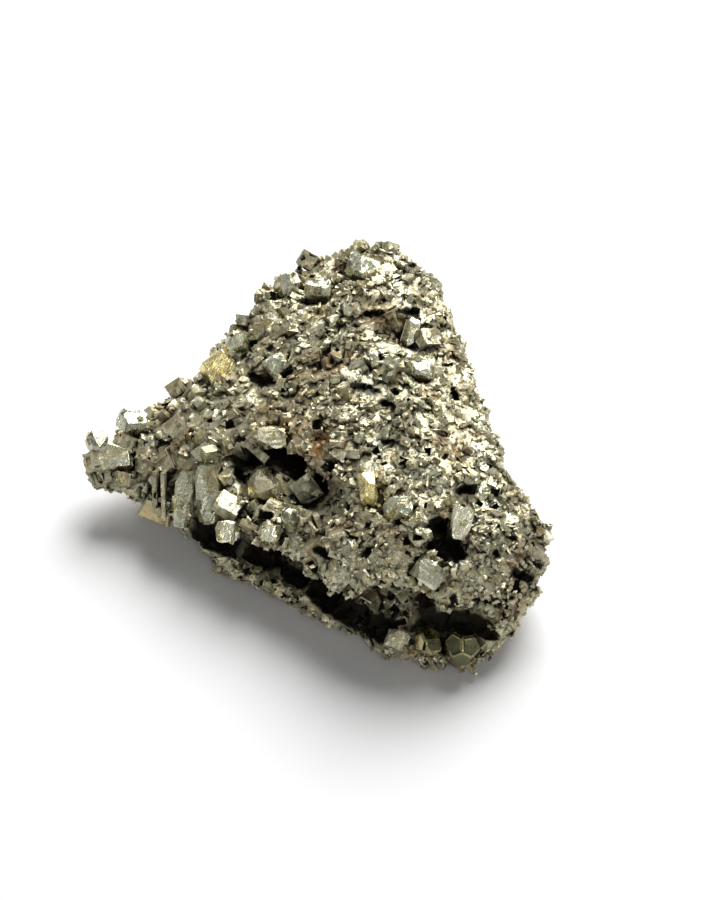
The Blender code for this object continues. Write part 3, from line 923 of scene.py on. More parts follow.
@dataclass
class PyriteMass:
    """The intergrown mass."""

    core_step: float = 0.6
    core_set_back: float = 0.45
    lump: float = 4.6
    crack_depth: float = 1.7
    seed: int = 11

    def shapes(self, rng: Random) -> dict[Habit, list[Shape]]:
        """Shapes that grains are chosen from, with sides of about one.

        Args:
            rng: source of their variety.

        Returns:
            The shapes of each habit.
        """
        cubes, bricks, plates = [], [], []
        for _ in range(12):
            cut = box_shape().points * rng.uniform(0.9, 1.1, 3)
            worn = cut * (1 - rng.uniform(0.0, 0.16, (8, 1)))
            nicked = np.concatenate([worn, worn[:2] * (0.6, 1.0, 1.0), worn[:2] * (1.0, 0.6, 1.0)])[2:]
            cubes.append(hull_shape(nicked))
            lean = np.array([[1, rng.normal(0, 0.15), 0], [0, 1, rng.normal(0, 0.15)], [0, 0, 1]])
            bricks.append(hull_shape((worn * (1.35, 0.95, 0.6)) @ lean))
            plates.append(hull_shape((worn * (1.2, 0.8, 0.22)) @ lean))
        striated = []
        for _ in range(5):
            size = (1.0, float(rng.uniform(0.75, 1.0)), float(rng.uniform(0.7, 1.0)))
            striated.append(StriatedBlock(size, 0.13, 0.05).shape(rng))
        forms = [pyritohedron_shape(0.5), pyritohedron_shape(0.36)]
        return {
            Habit.CUBE: cubes,
            Habit.BRICK: bricks,
            Habit.PLATE: plates,
            Habit.STRIATED: striated,
            Habit.PYRITOHEDRON: forms,
        }

    def core(self) -> Solid:
        """The CAD mass, set back to make room for the grains."""
        solid = Solid("pyrite_mass_skin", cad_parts["pyrite_mass"].data.copy())
        solid.mesh.materials.clear()
        step = self.core_step * MM
        solid.shape_with("REMESH", mode="VOXEL", voxel_size=step)
        solid.shape_with("DISPLACE", strength=-self.core_set_back * MM, mid_level=0.0)
        cracks = bpy.data.textures.new("cracks", "VORONOI")
        cracks.noise_scale = self.lump * MM
        cracks.weight_1, cracks.weight_2 = -1.0, 1.0
        solid.shape_with("DISPLACE", texture=cracks, strength=self.crack_depth * MM, mid_level=0.22)
        solid.shape_with("REMESH", mode="VOXEL", voxel_size=step)
        solid.shape_with("DECIMATE", ratio=0.3)
        return solid

    def grow(
        self,
        solid: Solid,
        grains: Grains,
        how: Join,
        rng: Random,
        shapes: dict[Habit, list[Shape]],
        ground: Ground,
    ) -> None:
        """Joins one size class of grains to the solid, or cuts it out.

        Args:
            solid: the solid to change.
            grains: the size class.
            how: whether the grains are added or cut.
            rng: source of the choices.
            shapes: shapes to choose from.
            ground: what grains keep clear of.
        """
        placed = grains.place(rng, Scatter(solid), Openness(solid, 4.0), ground)
        for rows in placed.batches():
            solid.combine(how, placed.mesh(rng, rows, shapes))
        LOG.info("%s: %d grains, %d faces", grains.name, len(placed.places), len(solid.mesh.polygons))

    def set_landmarks(self, solid: Solid, rng: Random, shapes: dict[Habit, list[Shape]]) -> None:
        """Joins the grains that stand out.

        Args:
            solid: the solid to change.
            rng: source of their variety.
            shapes: shapes to choose from.
        """
        for mark in LANDMARKS:
            if mark.habit is Habit.STRIATED:
                shape = StriatedBlock(mark.size, 0.32, 0.12).shape(rng)
            else:
                plain = shapes[mark.habit][int(rng.integers(len(shapes[mark.habit])))]
                shape = Shape(plain.points * np.array(mark.size), plain.faces)
            turn = np.array(Euler([math.radians(angle) for angle in mark.turn]).to_matrix())
            points = shape.points @ turn.T + np.array(mark.centre)
            solid.combine(Join.ADD, mesh_of(mark.name, points, shape.faces))

    def build(self, blocks: Sequence[Block]) -> Solid:
        """Builds the whole mass.

        Args:
            blocks: boxes of the single crystals.

        Returns:
            The solid, in place.
        """
        rng = np.random.default_rng(self.seed)
        shapes = self.shapes(rng)
        solid = self.core()
        ground = Ground(solid, blocks)
        for hollow in HOLLOWS:
            solid.combine(Join.CUT, hollow.mesh(rng))
        self.grow(solid, COARSE, Join.ADD, rng, shapes, ground)
        self.set_landmarks(solid, rng, shapes)
        LOG.info("landmarks: %d faces", len(solid.mesh.polygons))
        self.grow(solid, MEDIUM, Join.ADD, rng, shapes, ground)
        self.grow(solid, PLATES, Join.ADD, rng, shapes, ground)
        self.grow(solid, PITS, Join.CUT, rng, shapes, ground)
        self.grow(solid, FINE, Join.ADD, rng, shapes, ground)
        slab = box_shape((90.0, 90.0, 12.0))
        solid.combine(Join.CUT, mesh_of("slab", slab.points - (0, 0, 6.0), slab.faces))
        solid.drop_crumbs(60)
        return solid


Value = float | tuple[float, ...] | Socket


class Nodes:
    """Adds nodes to a shader tree, one call for each."""

    def __init__(self, tree: bpy.types.NodeTree) -> None:
        """Keeps the tree.

        Args:
            tree: the material's or the group's tree.
        """
        self.tree = tree

    def add(
        self, kind: str, values: dict[str | int, Value] | None = None, **settings: object
    ) -> bpy.types.Node:
        """Adds one node.

        Args:
            kind: Blender's name for the node's type, without ShaderNode.
            values: sockets to link and constants to set, by input name or number.
            settings: the node's own settings by name.

        Returns:
            The node.
        """
        node = self.tree.nodes.new("ShaderNode" + kind)
        for name, setting in settings.items():
            setattr(node, name, setting)
        for name, value in (values or {}).items():
            if isinstance(value, Socket):
                self.tree.links.new(value, node.inputs[name])
            else:
                node.inputs[name].default_value = value
        return node

    def math(self, operation: str, *values: Value, clamp: bool = False) -> Socket:
        """Adds a Math node.

        Args:
            operation: what it does.
            values: its inputs in order.
            clamp: whether its result is kept from 0 to 1.

        Returns:
            Its result.
        """
        return self.add("Math", dict(enumerate(values)), operation=operation, use_clamp=clamp).outputs[0]

    def vector(self, operation: str, *values: Value) -> bpy.types.Node:
        """Adds a Vector Math node.

        Args:
            operation: what it does.
            values: its inputs in order.

        Returns:
            The node.
        """
        return self.add("VectorMath", dict(enumerate(values)), operation=operation)

    def blend(self, share: Value, first: Value, second: Value) -> Socket:
        """Blends two colours.

        Args:
            share: how much of the second colour shows.
            first: a colour.
            second: a colour.

        Returns:
            The blended colour.
        """
        node = self.add("Mix", {0: share, 6: first, 7: second}, data_type="RGBA")
        return node.outputs[2]

    def between(
        self, value: Value, low: float, high: float, start: float = 0.0, end: float = 1.0
    ) -> Socket:
        """Stretches a value from one range to another and keeps it there.

        Args:
            value: the value.
            low: what becomes start.
            high: what becomes end.
            start: result at low.
            end: result at high.

        Returns:
            The stretched value.
        """
        inputs: dict[str | int, Value] = {"Value": value, 1: low, 2: high, 3: start, 4: end}
        return self.add("MapRange", inputs, clamp=True).outputs[0]


class Effect:
    """A shader node group that materials share."""

    name = "effect"
    takes: tuple[tuple[str, str], ...] = ()
    gives: tuple[tuple[str, str], ...] = ()

    def wire(self, nodes: Nodes, taken: Sockets) -> Sockets:
        """Builds the group's inside.

        Args:
            nodes: adds nodes to the group.
            taken: the group's inputs by name.

        Returns:
            The group's outputs by name.
        """
        raise NotImplementedError

    def group(self) -> bpy.types.NodeTree:
        """The node group, made at its first use."""
        made = bpy.data.node_groups.get(self.name)
        if made:
            return made
        made = bpy.data.node_groups.new(self.name, "ShaderNodeTree")
        for socket, kind in self.takes:
            made.interface.new_socket(socket, in_out="INPUT", socket_type=kind)
        for socket, kind in self.gives:
            made.interface.new_socket(socket, in_out="OUTPUT", socket_type=kind)
        entry = made.nodes.new("NodeGroupInput")
        leave = made.nodes.new("NodeGroupOutput")
        given = self.wire(Nodes(made), {socket: entry.outputs[socket] for socket, _ in self.takes})
        for socket, value in given.items():
            made.links.new(value, leave.inputs[socket])
        return made

    def use(self, nodes: Nodes, **values: Value) -> bpy.types.Node:
        """Places the group in a material.

        Args:
            nodes: adds nodes to the material.
            values: the group's inputs by name.

        Returns:
            The group node.
        """
        return nodes.add("Group", dict(values), node_tree=self.group())


FLOAT = "NodeSocketFloat"
VECTOR = "NodeSocketVector"
# slot: the record's material slot, not used.


class BrokenFacets(Effect):
    """Small flat facets, each leaning its own way, as on a grainy broken surface."""

    name = "broken_facets"
    takes = (("Place", VECTOR), ("Normal", VECTOR), ("Density", FLOAT), ("Lean", FLOAT))
    gives = (("Normal", VECTOR), ("Tint", FLOAT))

    def wire(self, nodes: Nodes, taken: Sockets) -> Sockets:
        """Builds the group's inside.

        Args:
            nodes: adds nodes to the group.
            taken: the group's inputs by name.

        Returns:
            The group's outputs by name.
        """
        where = {"Vector": taken["Place"], "Scale": taken["Density"]}
        cells = nodes.add("TexVoronoi", where, distance="CHEBYCHEV")
        random = cells.outputs["Color"]
        centred = nodes.vector("SUBTRACT", random, (0.5, 0.5, 0.5)).outputs[0]
        leaning = nodes.add("VectorMath", {0: centred, "Scale": taken["Lean"]}, operation="SCALE").outputs[0]
        tilted = nodes.vector("ADD", taken["Normal"], leaning).outputs[0]
        normal = nodes.vector("NORMALIZE", tilted).outputs[0]
        tint = nodes.add("SeparateColor", {0: random}).outputs[2]
        return {"Normal": normal, "Tint": tint}


class GrowthLines(Effect):
    """Fine parallel lines across each face, with a direction of its own on every face."""

    name = "growth_lines"
    takes = (("Place", VECTOR), ("Density", FLOAT))
    gives = (("Height", FLOAT),)

    def wire(self, nodes: Nodes, taken: Sockets) -> Sockets:
        """Builds the group's inside.

        Args:
            nodes: adds nodes to the group.
            taken: the group's inputs by name.

        Returns:
            The group's outputs by name.
        """
        face = nodes.add("NewGeometry").outputs["True Normal"]
        across = nodes.vector("CROSS_PRODUCT", face, (0.42, 0.31, 0.85)).outputs[0]
        unit = nodes.vector("NORMALIZE", across).outputs[0]
        along = nodes.vector("DOT_PRODUCT", taken["Place"], unit).outputs["Value"]
        step = nodes.math("MULTIPLY", along, taken["Density"])
        rhythm = {"W": step, "Scale": 1.0, "Detail": 2.0, "Roughness": 0.6}
        lines = nodes.add("TexNoise", rhythm, noise_dimensions="1D")
        return {"Height": nodes.between(lines.outputs[0], 0.35, 0.65)}


class FaceTone(Effect):
    """A tone for each crystal face, shared by faces that lie the same way."""

    name = "face_tone"
    takes = (("Seed", FLOAT),)
    gives = (("Tone", FLOAT), ("Warmth", FLOAT))

    def wire(self, nodes: Nodes, taken: Sockets) -> Sockets:
        """Builds the group's inside.

        Args:
            nodes: adds nodes to the group.
            taken: the group's inputs by name.

        Returns:
            The group's outputs by name.
        """
        face = nodes.add("NewGeometry").outputs["True Normal"]
        stepped = nodes.vector("SNAP", face, (0.07, 0.07, 0.07)).outputs[0]
        random = nodes.add("TexWhiteNoise", {"Vector": stepped, "W": taken["Seed"]}, noise_dimensions="4D")
        parts = nodes.add("SeparateColor", {0: random.outputs["Color"]})
        return {"Tone": random.outputs["Value"], "Warmth": parts.outputs[1]}


class WeatheringAndShade(Effect):
    """Where rust has grown, where dust lies, and painted shade where the light hardly reaches."""

    name = "weathering_and_painted_shade"
    takes = (
        ("Place", VECTOR),
        ("Openness", FLOAT),
        ("Seam", FLOAT),
        ("Stain", FLOAT),
        ("Rust", FLOAT),
        ("Dust", FLOAT),
    )
    gives = (("Rust", FLOAT), ("Dust", FLOAT), ("Painted Shade", FLOAT))

    def wire(self, nodes: Nodes, taken: Sockets) -> Sockets:
        """Builds the group's inside.

        Args:
            nodes: adds nodes to the group.
            taken: the group's inputs by name.

        Returns:
            The group's outputs by name.
        """
        broad = nodes.add("TexNoise", {"Vector": taken["Place"], "Scale": 190.0, "Detail": 3.0}).outputs[0]
        small = nodes.add("TexNoise", {"Vector": taken["Place"], "Scale": 1100.0, "Detail": 3.0}).outputs[0]
        hollow = nodes.between(taken["Openness"], 0.15, 0.75, 1.0, 0.0)
        patch = nodes.between(broad, 0.5, 0.66)
        speck = nodes.between(small, 0.4, 0.55)
        rust_place = nodes.math("MULTIPLY", nodes.math("MULTIPLY_ADD", hollow, 0.7, 0.3), patch)
        stained = nodes.math("MULTIPLY", nodes.between(broad, 0.36, 0.54), taken["Stain"])
        rusting = nodes.math("MAXIMUM", rust_place, stained)
        rust = nodes.math("MULTIPLY", nodes.math("MULTIPLY", rusting, speck), taken["Rust"], clamp=True)
        dust_patch = nodes.between(broad, 0.34, 0.52, 1.0, 0.0)
        grain = nodes.between(small, 0.3, 0.6)
        dust = nodes.math("MULTIPLY", nodes.math("MULTIPLY", dust_patch, grain), taken["Dust"], clamp=True)
        # painted shade: a mask for points that see little open space and for narrow seams between grains
        deep = nodes.between(taken["Openness"], 0.27, 0.6, 1.0, 0.0)
        seam = nodes.between(taken["Seam"], 0.25, 0.75, 0.9, 0.0)
        painted_shade = nodes.math("MAXIMUM", deep, seam)
        return {"Rust": rust, "Dust": dust, "Painted Shade": painted_shade}


@dataclass(frozen=True)
class PyriteFinish:
    """One look of pyrite's metal: colours are linear, densities are cells in a metre."""

    name: str
    pale: Point
    deep: Point
    roughness: tuple[float, float]
    facet_density: float
    facet_lean: float
    grit_lean: float
    line_density: float
    line_height: float
    rust: float
    dust: float
    warm: Point = (0.60, 0.50, 0.27)
    rust_colour: Point = (0.24, 0.125, 0.04)
    dust_colour: Point = (0.27, 0.26, 0.2)

    def material(self) -> bpy.types.Material:
        """Builds the material.

        Returns:
            The material.
        """
        material = bpy.data.materials.new(self.name)
        material.use_nodes = True
        nodes = Nodes(material.node_tree)
        shader = material.node_tree.nodes["Principled BSDF"]
        place = nodes.add("TexCoord").outputs["Object"]
        outside = nodes.add("NewGeometry").outputs["Normal"]
        openness = nodes.add("Attribute", attribute_name="openness").outputs["Fac"]
        facets = BrokenFacets().use(
            nodes, Place=place, Normal=outside, Density=self.facet_density, Lean=self.facet_lean
        )
        broken = facets.outputs["Normal"]
        fineness = self.facet_density * 3.1
        grit = BrokenFacets().use(nodes, Place=place, Normal=broken, Density=fineness, Lean=self.grit_lean)
        lines = GrowthLines().use(nodes, Place=place, Density=self.line_density)
        ridges = {"Height": lines.outputs["Height"], "Normal": grit.outputs["Normal"]}
        bump = nodes.add("Bump", {**ridges, "Strength": 0.7, "Distance": self.line_height * MM})
        seam = nodes.add("Attribute", attribute_name="seam").outputs["Fac"]
        stained = nodes.add("Attribute", attribute_name="stain").outputs["Fac"]
        worn = WeatheringAndShade().use(
            nodes, Place=place, Openness=openness, Seam=seam, Stain=stained, Rust=self.rust, Dust=self.dust
        )
        clouds = {"Vector": place, "Scale": 320.0, "Detail": 4.0, "Roughness": 0.65}
        drift = nodes.add("TexNoise", clouds).outputs[0]
        face = FaceTone().use(nodes, Seed=1.0)
        cloudy = nodes.between(drift, 0.35, 0.65, 0.0, 0.25)
        mixed = nodes.math("MULTIPLY_ADD", facets.outputs["Tint"], 0.35, cloudy)
        tint = nodes.math("MULTIPLY_ADD", face.outputs["Tone"], 0.4, mixed)
        metal = nodes.blend(tint, (*self.deep, 1.0), (*self.pale, 1.0))
        warmth = nodes.between(face.outputs["Warmth"], 0.62, 0.9, 0.0, 0.75)
        warmed = nodes.blend(warmth, metal, (*self.warm, 1.0))
        dusty = nodes.blend(worn.outputs["Dust"], warmed, (*self.dust_colour, 1.0))
        rusty = nodes.blend(worn.outputs["Rust"], dusty, (*self.rust_colour, 1.0))
        # painted shade: crevices and narrow seams are blended to near black, made rougher and less metallic;
        # rust and dust also make it rougher and less metallic
        painted_shade = nodes.math("MULTIPLY", worn.outputs["Painted Shade"], 0.97)
        shade = nodes.blend(painted_shade, rusty, (0.008, 0.0065, 0.004, 1.0))
        loose = nodes.math("MAXIMUM", worn.outputs["Rust"], nodes.math("MULTIPLY", worn.outputs["Dust"], 0.7))
        coating_and_shade = nodes.math("MAXIMUM", loose, nodes.math("MULTIPLY", worn.outputs["Painted Shade"], 0.9))
        low, high = self.roughness
        rough = nodes.between(grit.outputs["Tint"], 0.0, 1.0, low, high)
        links = material.node_tree.links
        links.new(shade, shader.inputs["Base Color"])
        links.new(nodes.math("MULTIPLY_ADD", coating_and_shade, 0.45, rough), shader.inputs["Roughness"])
        links.new(nodes.math("SUBTRACT", 1.0, coating_and_shade, clamp=True), shader.inputs["Metallic"])
        links.new(bump.outputs["Normal"], shader.inputs["Normal"])
        shader.inputs["Specular IOR Level"].default_value = 0.12
        return material


DRUSE = PyriteFinish(
    "pyrite_druse", (0.79, 0.765, 0.57), (0.27, 0.26, 0.165),
    (0.22, 0.44), 1500.0, 0.28, 0.24, 9000.0, 0.04, 1.0, 0.12
)
GREY = PyriteFinish(
    "pyrite_grey", (0.76, 0.77, 0.60), (0.34, 0.35, 0.25),
    (0.16, 0.34), 1100.0, 0.2, 0.16, 7000.0, 0.05, 0.4, 0.1
)
BRIGHT = PyriteFinish(
    "pyrite_bright", (0.97, 0.95, 0.76), (0.76, 0.74, 0.52),
    (0.1, 0.25), 900.0, 0.16, 0.1, 6000.0, 0.05, 0.15, 0.05
)
GOLD = PyriteFinish(
    "pyrite_gold", (0.97, 0.88, 0.5), (0.8, 0.68, 0.3),
    (0.14, 0.28), 900.0, 0.2, 0.12, 6000.0, 0.04, 0.2, 0.05
)
# painted shade: a darkened copy of the pyrite for crystals that sit in the cavity's shade
SHADE_FINISH = PyriteFinish(
    "pyrite_painted_shade", (0.24, 0.235, 0.13), (0.1, 0.1, 0.05),
    (0.06, 0.14), 500.0, 0.06, 0.03, 3000.0, 0.003, 0.1, 0.02
)
# painted shade: a darker copy of the pyrite for the prism in the shade under the left edge
DEEP_SHADE_FINISH = PyriteFinish(
    "pyrite_painted_deep_shade", (0.17, 0.17, 0.12), (0.04, 0.04, 0.025),
    (0.16, 0.36), 700.0, 0.2, 0.14, 3000.0, 0.03, 0.3, 0.1
)


def paint(solid: Solid, finish: PyriteFinish) -> None:
    """Gives a solid its finish.

    Args:
        solid: the solid.
        finish: its finish.
    """
    material = bpy.data.materials.get(finish.name) or finish.material()
    solid.mesh.materials.clear()
    solid.mesh.materials.append(material)
    solid.mesh.polygons.foreach_set("material_index", np.zeros(len(solid.mesh.polygons), np.int32))


SEAM = 0.7  # width in millimetres under which a gap counts as a seam
# painted shade in the hollows: openness is scaled down from the rim towards the hollow's middle
HOLLOW_RIM_SHADE, HOLLOW_SHADE_FALL, HOLLOW_DEEPEST_SHADE = 0.7, 0.9, 0.3
OPEN_CRYSTAL = 0.9  # openness of a crystal that stands free

RUST_SPOTS = (
    ((-3.6, -2.4, 16.0), 3.6),
    ((0.6, -6.0, 17.4), 4.0),
    ((3.6, -9.8, 18.2), 3.2),
    ((1.6, 6.6, 19.4), 3.0),
    ((8.6, 15.6, 20.4), 3.0),
    ((-1.4, 9.6, 18.4), 2.4),
    ((19.2, -7.4, 18.6), 2.2),
    ((17.4, -24.4, 16.0), 2.4),
    ((-16.6, -8.6, 10.2), 1.6),
    ((-8.0, -15.4, 10.4), 2.0),
    ((7.6, -14.6, 19.4), 2.0),
    ((27.0, -22.0, 12.4), 2.6),
    ((1.0, -20.4, 13.6), 2.4),
    ((12.4, -29.6, 6.0), 2.4),
)


def stain(points: np.ndarray) -> np.ndarray:
    """How rusty each place is, from 0 to 1.

    Args:
        points: places in millimetres.

    Returns:
        One share for each place.
    """
    shares = [1.4 - np.linalg.norm(points - np.array(centre), axis=1) / reach for centre, reach in RUST_SPOTS]
    return np.clip(np.max(shares, axis=0), 0.0, 1.0)


def shade_by_openness(solid: Solid, openness: Openness | None) -> None:
    """Writes how open each vertex lies, which the finishes read; inside the hollows it is lowered further to
    paint shade there.

    Args:
        solid: the solid.
        openness: measures it, or None where everything lies open.
    """
    mesh = solid.mesh
    points = solid.corners()
    normals = np.empty(len(points) * 3)
    mesh.vertex_normals.foreach_get("vector", normals)
    if openness:
        lengths = openness.distances(points / MM, normals.reshape(-1, 3))
        # painted shade: points inside a hollow count as less open, so the finish darkens them
        inside = np.min([hollow.nearness(points / MM) for hollow in HOLLOWS], axis=0)
        hollow_shade = np.clip(HOLLOW_RIM_SHADE + HOLLOW_SHADE_FALL * inside, HOLLOW_DEEPEST_SHADE, 1.0)
        openness_with_shade = (lengths >= openness.reach).mean(1) * hollow_shade
        close = (lengths > SEAM).mean(1)
    else:
        openness_with_shade = close = np.full(len(points), OPEN_CRYSTAL)
    for name, numbers in (("openness", openness_with_shade), ("seam", close), ("stain", stain(points / MM))):
        attribute = mesh.attributes.new(name, "FLOAT", "POINT")
        attribute.data.foreach_set("value", numbers.astype(np.float32))


@dataclass(frozen=True)
class Crystal:
    """One single crystal that stands out of the mass."""

    node: str
    slot: str
    finish: PyriteFinish
    pitch: float = 0.34
    depth: float = 0.14
    chips: int = 3
    parasites: int = 6
    grown: float = 0.25
    sides: int = 26
    looks: Point | None = None

    def rough_shape(self, rng: Random, block: Block) -> Solid:
        """The crystal's own form about the origin, in its box's axes.

        Args:
            rng: source of its growth lines.
            block: its box.

        Returns:
            The solid.
        """
        size = block.size + 2 * self.grown
        solid = StriatedBlock(tuple(size.tolist()), self.pitch, self.depth).solid(rng, self.node + "_crystal")
        out = rng.normal(size=(self.sides, 3))
        out /= np.linalg.norm(out, axis=1)[:, None]
        limit = hull_shape(out * size * rng.uniform(0.6, 0.8, (self.sides, 1)))
        solid.combine(Join.KEEP, mesh_of("limit", limit.points, limit.faces))
        return solid

    def chip(self, solid: Solid, rng: Random, size: np.ndarray) -> None:
        """Breaks some corners off.

        Args:
            solid: the crystal.
            rng: chooses the corners.
            size: its sides.
        """
        for _ in range(self.chips):
            corner = rng.choice([-0.5, 0.5], 3) * size
            edge = rng.random(3) < 0.4
            corner = np.where(edge, corner * rng.uniform(-1, 1, 3), corner)
            lump = box_shape(size.min() * rng.uniform(0.25, 0.6, 3))
            turn = random_turns(rng, 1)[0]
            solid.combine(Join.CUT, mesh_of("chip", lump.points @ turn.T + corner, lump.faces))

    def overgrow(self, solid: Solid, rng: Random, size: np.ndarray) -> None:
        """Lets small grains grow on its faces.

        Args:
            solid: the crystal.
            rng: chooses their places.
            size: the crystal's sides.
        """
        for _ in range(self.parasites):
            place = rng.uniform(-0.5, 0.5, 3) * size
            axis = int(rng.integers(3))
            place[axis] = math.copysign(size[axis] * 0.49, place[axis])
            lump = box_shape(rng.uniform(0.3, 0.85, 3))
            turn = random_turns(rng, 1)[0]
            solid.combine(Join.ADD, mesh_of("parasite", lump.points @ turn.T + place, lump.faces))

    def build(self, rng: Random, block: Block) -> Solid:
        """Builds the crystal in place.

        Args:
            rng: source of its details.
            block: its box.

        Returns:
            The solid.
        """
        block = block.turned_to(self.looks) if self.looks else block
        solid = self.rough_shape(rng, block)
        size = block.size + 2 * self.grown
        self.chip(solid, rng, size)
        self.overgrow(solid, rng, size)
        place = Matrix(block.axes.T.tolist()).to_4x4()
        place.translation = Vector(block.centre) * MM
        solid.mesh.transform(place)
        solid.drop_crumbs(12)
        return solid


@dataclass(frozen=True)
class SmoothCrystal(Crystal):
    """A crystal with smooth faces, a wedge or a twelve-sided form."""

    round_off: float = 0.18

    def rough_shape(self, rng: Random, block: Block) -> Solid:
        """The CAD form with softened edges, about the origin, in its box's axes.

        Args:
            rng: not needed for this form.
            block: its box.

        Returns:
            The solid.
        """
        corners = np.array([tuple(vert.co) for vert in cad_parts[self.node].data.vertices]) / MM
        hull = hull_shape((corners - block.centre) @ block.axes.T * (1 + 2 * self.grown / block.size))
        solid = Solid(self.node + "_crystal", mesh_of(self.node, hull.points, hull.faces))
        solid.shape_with("BEVEL", width=self.round_off * MM, segments=2, angle_limit=math.radians(18))
        return solid


FRONT_CARD = (0.2, -0.75, 0.9)
GLINT = (0.085, -0.64, 0.765)

CRYSTALS = (
    Crystal("tip_crystal", "grey", GREY, 0.5, 0.1, 4, 7),
    Crystal("tip_rear_crystal", "grey", GREY, 0.5, 0.1, 2, 4),
    Crystal("shoulder_crystal", "grey", GREY, 0.5, 0.12, 4, 6),
    Crystal("column_left", "grey", GREY, 0.3, 0.16, 3, 5),
    Crystal("column_right", "grey", GREY, 0.45, 0.12, 3, 5),
    # painted shade: the prism under the left edge takes the darker pyrite
    SmoothCrystal("undercut_prism", "grey", DEEP_SHADE_FINISH, chips=2, parasites=5),
    Crystal("front_chip", "bright", BRIGHT, 0.4, 0.12, 2, 4, looks=GLINT),
    Crystal("terrace_cube", "bright", BRIGHT, 0.3, 0.16, 3, 4),
    Crystal("gully_cube", "bright", BRIGHT, 0.34, 0.12, 2, 3, looks=GLINT),
    SmoothCrystal("terrace_nodule", "grey", GREY, chips=0, parasites=2),
    Crystal("terrace_chip", "bright", BRIGHT, 0.4, 0.12, 2, 4, looks=GLINT),
    Crystal("gold_blade", "gold", GOLD, 0.6, 0.06, 2, 1, looks=GLINT),
    Crystal("dome_cube", "grey", GREY, 0.4, 0.14, 3, 4),
    Crystal("hole_cube", "bright", BRIGHT, 0.5, 0.14, 2, 3, looks=GLINT),
    Crystal("brow_cube", "grey", GREY, 0.6, 0.12, 3, 5),
    # painted shade: the cavity crystals take the darkened pyrite
    SmoothCrystal("cavity_crystal_large", "dark", SHADE_FINISH, chips=0, parasites=0),
    SmoothCrystal("cavity_crystal_small", "dark", SHADE_FINISH, chips=0, parasites=1),
    Crystal("lip_cube", "grey", GREY, 0.4, 0.12, 3, 5),
    Crystal("summit_facet", "grey", GREY, 1.4, 0.03, 6, 3, -0.3, looks=(0.1, -0.4, 0.91)),
    Crystal("summit_cube", "grey", GREY, 0.36, 0.16, 3, 4),
    Crystal("summit_rear_cube", "grey", GREY, 0.45, 0.12, 4, 5),
    Crystal("crescent_crystal", "grey", GREY, 0.5, 0.12, 3, 4),
    Crystal("rim_cube", "grey", GREY, 0.36, 0.14, 3, 4),
    SmoothCrystal("rim_plate", "gold", GOLD, chips=2, parasites=4),
    Crystal("plateau_crystal", "grey", GREY, 0.4, 0.12, 3, 5),
    Crystal("lobe_blade", "bright", BRIGHT, 0.36, 0.14, 2, 3, looks=GLINT),
)


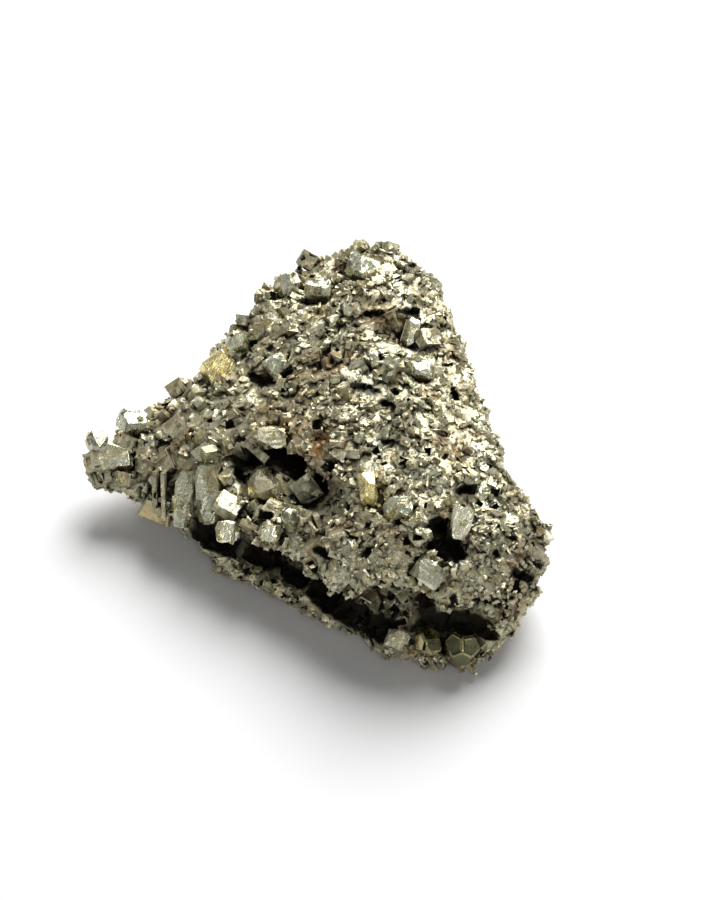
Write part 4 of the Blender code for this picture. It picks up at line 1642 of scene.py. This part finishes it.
class Studio:
    """Floor, lights, surroundings and camera."""

    def camera(self) -> None:
        """A long lens that looks down on the front."""
        aim = Vector((6.28, 1.53, 8.0)) * MM
        elevation = math.radians(50.0)
        lens = bpy.data.cameras.new("camera")
        lens.lens = 85.0
        lens.sensor_width = 36.0
        lens.clip_start = 0.01
        lens.clip_end = 20.0
        view = bpy.data.objects.new("camera", lens)
        back = Vector((0.0, -math.cos(elevation), math.sin(elevation)))
        view.location = aim + back * 0.291125
        view.rotation_euler = (math.pi / 2 - elevation, 0.0, 0.0)
        bpy.context.scene.collection.objects.link(view)
        bpy.context.scene.camera = view

    def floor(self) -> None:
        """A wide pale floor."""
        half = 3000.0
        shape = np.array([(-half, -half, 0.0), (half, -half, 0.0), (half, half, 0.0), (-half, half, 0.0)])
        floor = Solid("floor", mesh_of("floor", shape, [(0, 1, 2, 3)])).obj
        material = bpy.data.materials.new("pale_floor")
        material.use_nodes = True
        shader = material.node_tree.nodes["Principled BSDF"]
        shader.inputs["Base Color"].default_value = (0.92, 0.92, 0.92, 1.0)
        shader.inputs["Roughness"].default_value = 0.7
        shader.inputs["Specular IOR Level"].default_value = 0.2
        floor.data.materials.append(material)

    def light(self, name: str, direction: Point, distance: float, side: float, watts: float) -> None:
        """A square soft light that faces the specimen.

        Args:
            name: its name.
            direction: from the specimen to the light.
            distance: in metres.
            side: in metres.
            watts: its power.
        """
        data = bpy.data.lights.new(name, "AREA")
        data.shape = "SQUARE"
        data.size = side
        data.energy = watts
        lamp = bpy.data.objects.new(name, data)
        out = Vector(direction).normalized()
        lamp.location = Vector((0.002, -0.002, 0.008)) + out * distance
        lamp.rotation_euler = out.to_track_quat("Z", "Y").to_euler()
        bpy.context.scene.collection.objects.link(lamp)

    def surroundings(self) -> None:
        """A dim room with pale panels and dark gaps between them, plain where it's looked at directly."""
        world = bpy.data.worlds.new("room")
        bpy.context.scene.world = world
        world.use_nodes = True
        nodes = Nodes(world.node_tree)
        background = world.node_tree.nodes["Background"]
        way = nodes.add("TexCoord").outputs["Generated"]
        soft = {"Vector": way, "Scale": 3.2, "Detail": 1.5, "Roughness": 0.5}
        panels = nodes.add("TexNoise", soft).outputs[0]
        bright = nodes.between(panels, 0.42, 0.56, 0.02, 1.04)
        parts = nodes.add("SeparateXYZ", {0: way})
        behind = nodes.between(parts.outputs["Y"], -0.7, 0.5, 0.16, 1.0)
        facing = nodes.vector("DOT_PRODUCT", way, (0.12, -0.62, 0.775)).outputs["Value"]
        screen = nodes.between(facing, 0.86, 0.96, 0.0, 0.7)
        seen = nodes.math("MAXIMUM", nodes.math("MULTIPLY", bright, behind), screen)
        path = nodes.add("LightPath")
        fill = nodes.between(path.outputs["Is Diffuse Ray"], 0.0, 1.0, 1.0, 0.28)
        lit = nodes.math("MULTIPLY", seen, fill)
        shown = nodes.blend(path.outputs["Is Camera Ray"], lit, (0.9, 0.9, 0.9, 1.0))
        world.node_tree.links.new(shown, background.inputs["Color"])
        background.inputs["Strength"].default_value = 1.0

    def build(self) -> None:
        """Sets up everything round the specimen."""
        self.camera()
        self.floor()
        self.light("key", (0.28, 0.74, 0.95), 0.45, 0.35, 3.45)
        self.light("low_card", (0.15, -1.0, 0.32), 0.4, 0.12, 0.24)
        self.light("front_card", FRONT_CARD, 0.4, 0.05, 0.06)
        self.surroundings()
        bpy.context.scene.view_settings.view_transform = "Standard"


def main() -> None:
    """Builds the studio and the specimen, piece by piece."""
    logging.basicConfig(level=logging.INFO, format="%(relativeCreated)d %(message)s")
    Studio().build()
    LOG.info("studio ready")
    blocks = {crystal.node: Block.of_node(crystal.node) for crystal in CRYSTALS}
    rng = np.random.default_rng(5)
    for crystal in CRYSTALS:
        solid = crystal.build(rng, blocks[crystal.node])
        shade_by_openness(solid, None)
        paint(solid, crystal.finish)
        solid.ride(crystal.slot, crystal.node)
        LOG.info("%s ready: %d faces", crystal.node, len(solid.mesh.polygons))
    mass = PyriteMass().build(list(blocks.values()))
    shade_by_openness(mass, Openness(mass, 6.0, 9))
    LOG.info("openness measured")
    paint(mass, DRUSE)
    mass.ride("druse", "pyrite_mass")
    LOG.info("mass ready: %d faces", len(mass.mesh.polygons))


if __name__ == "__main__":
    main()
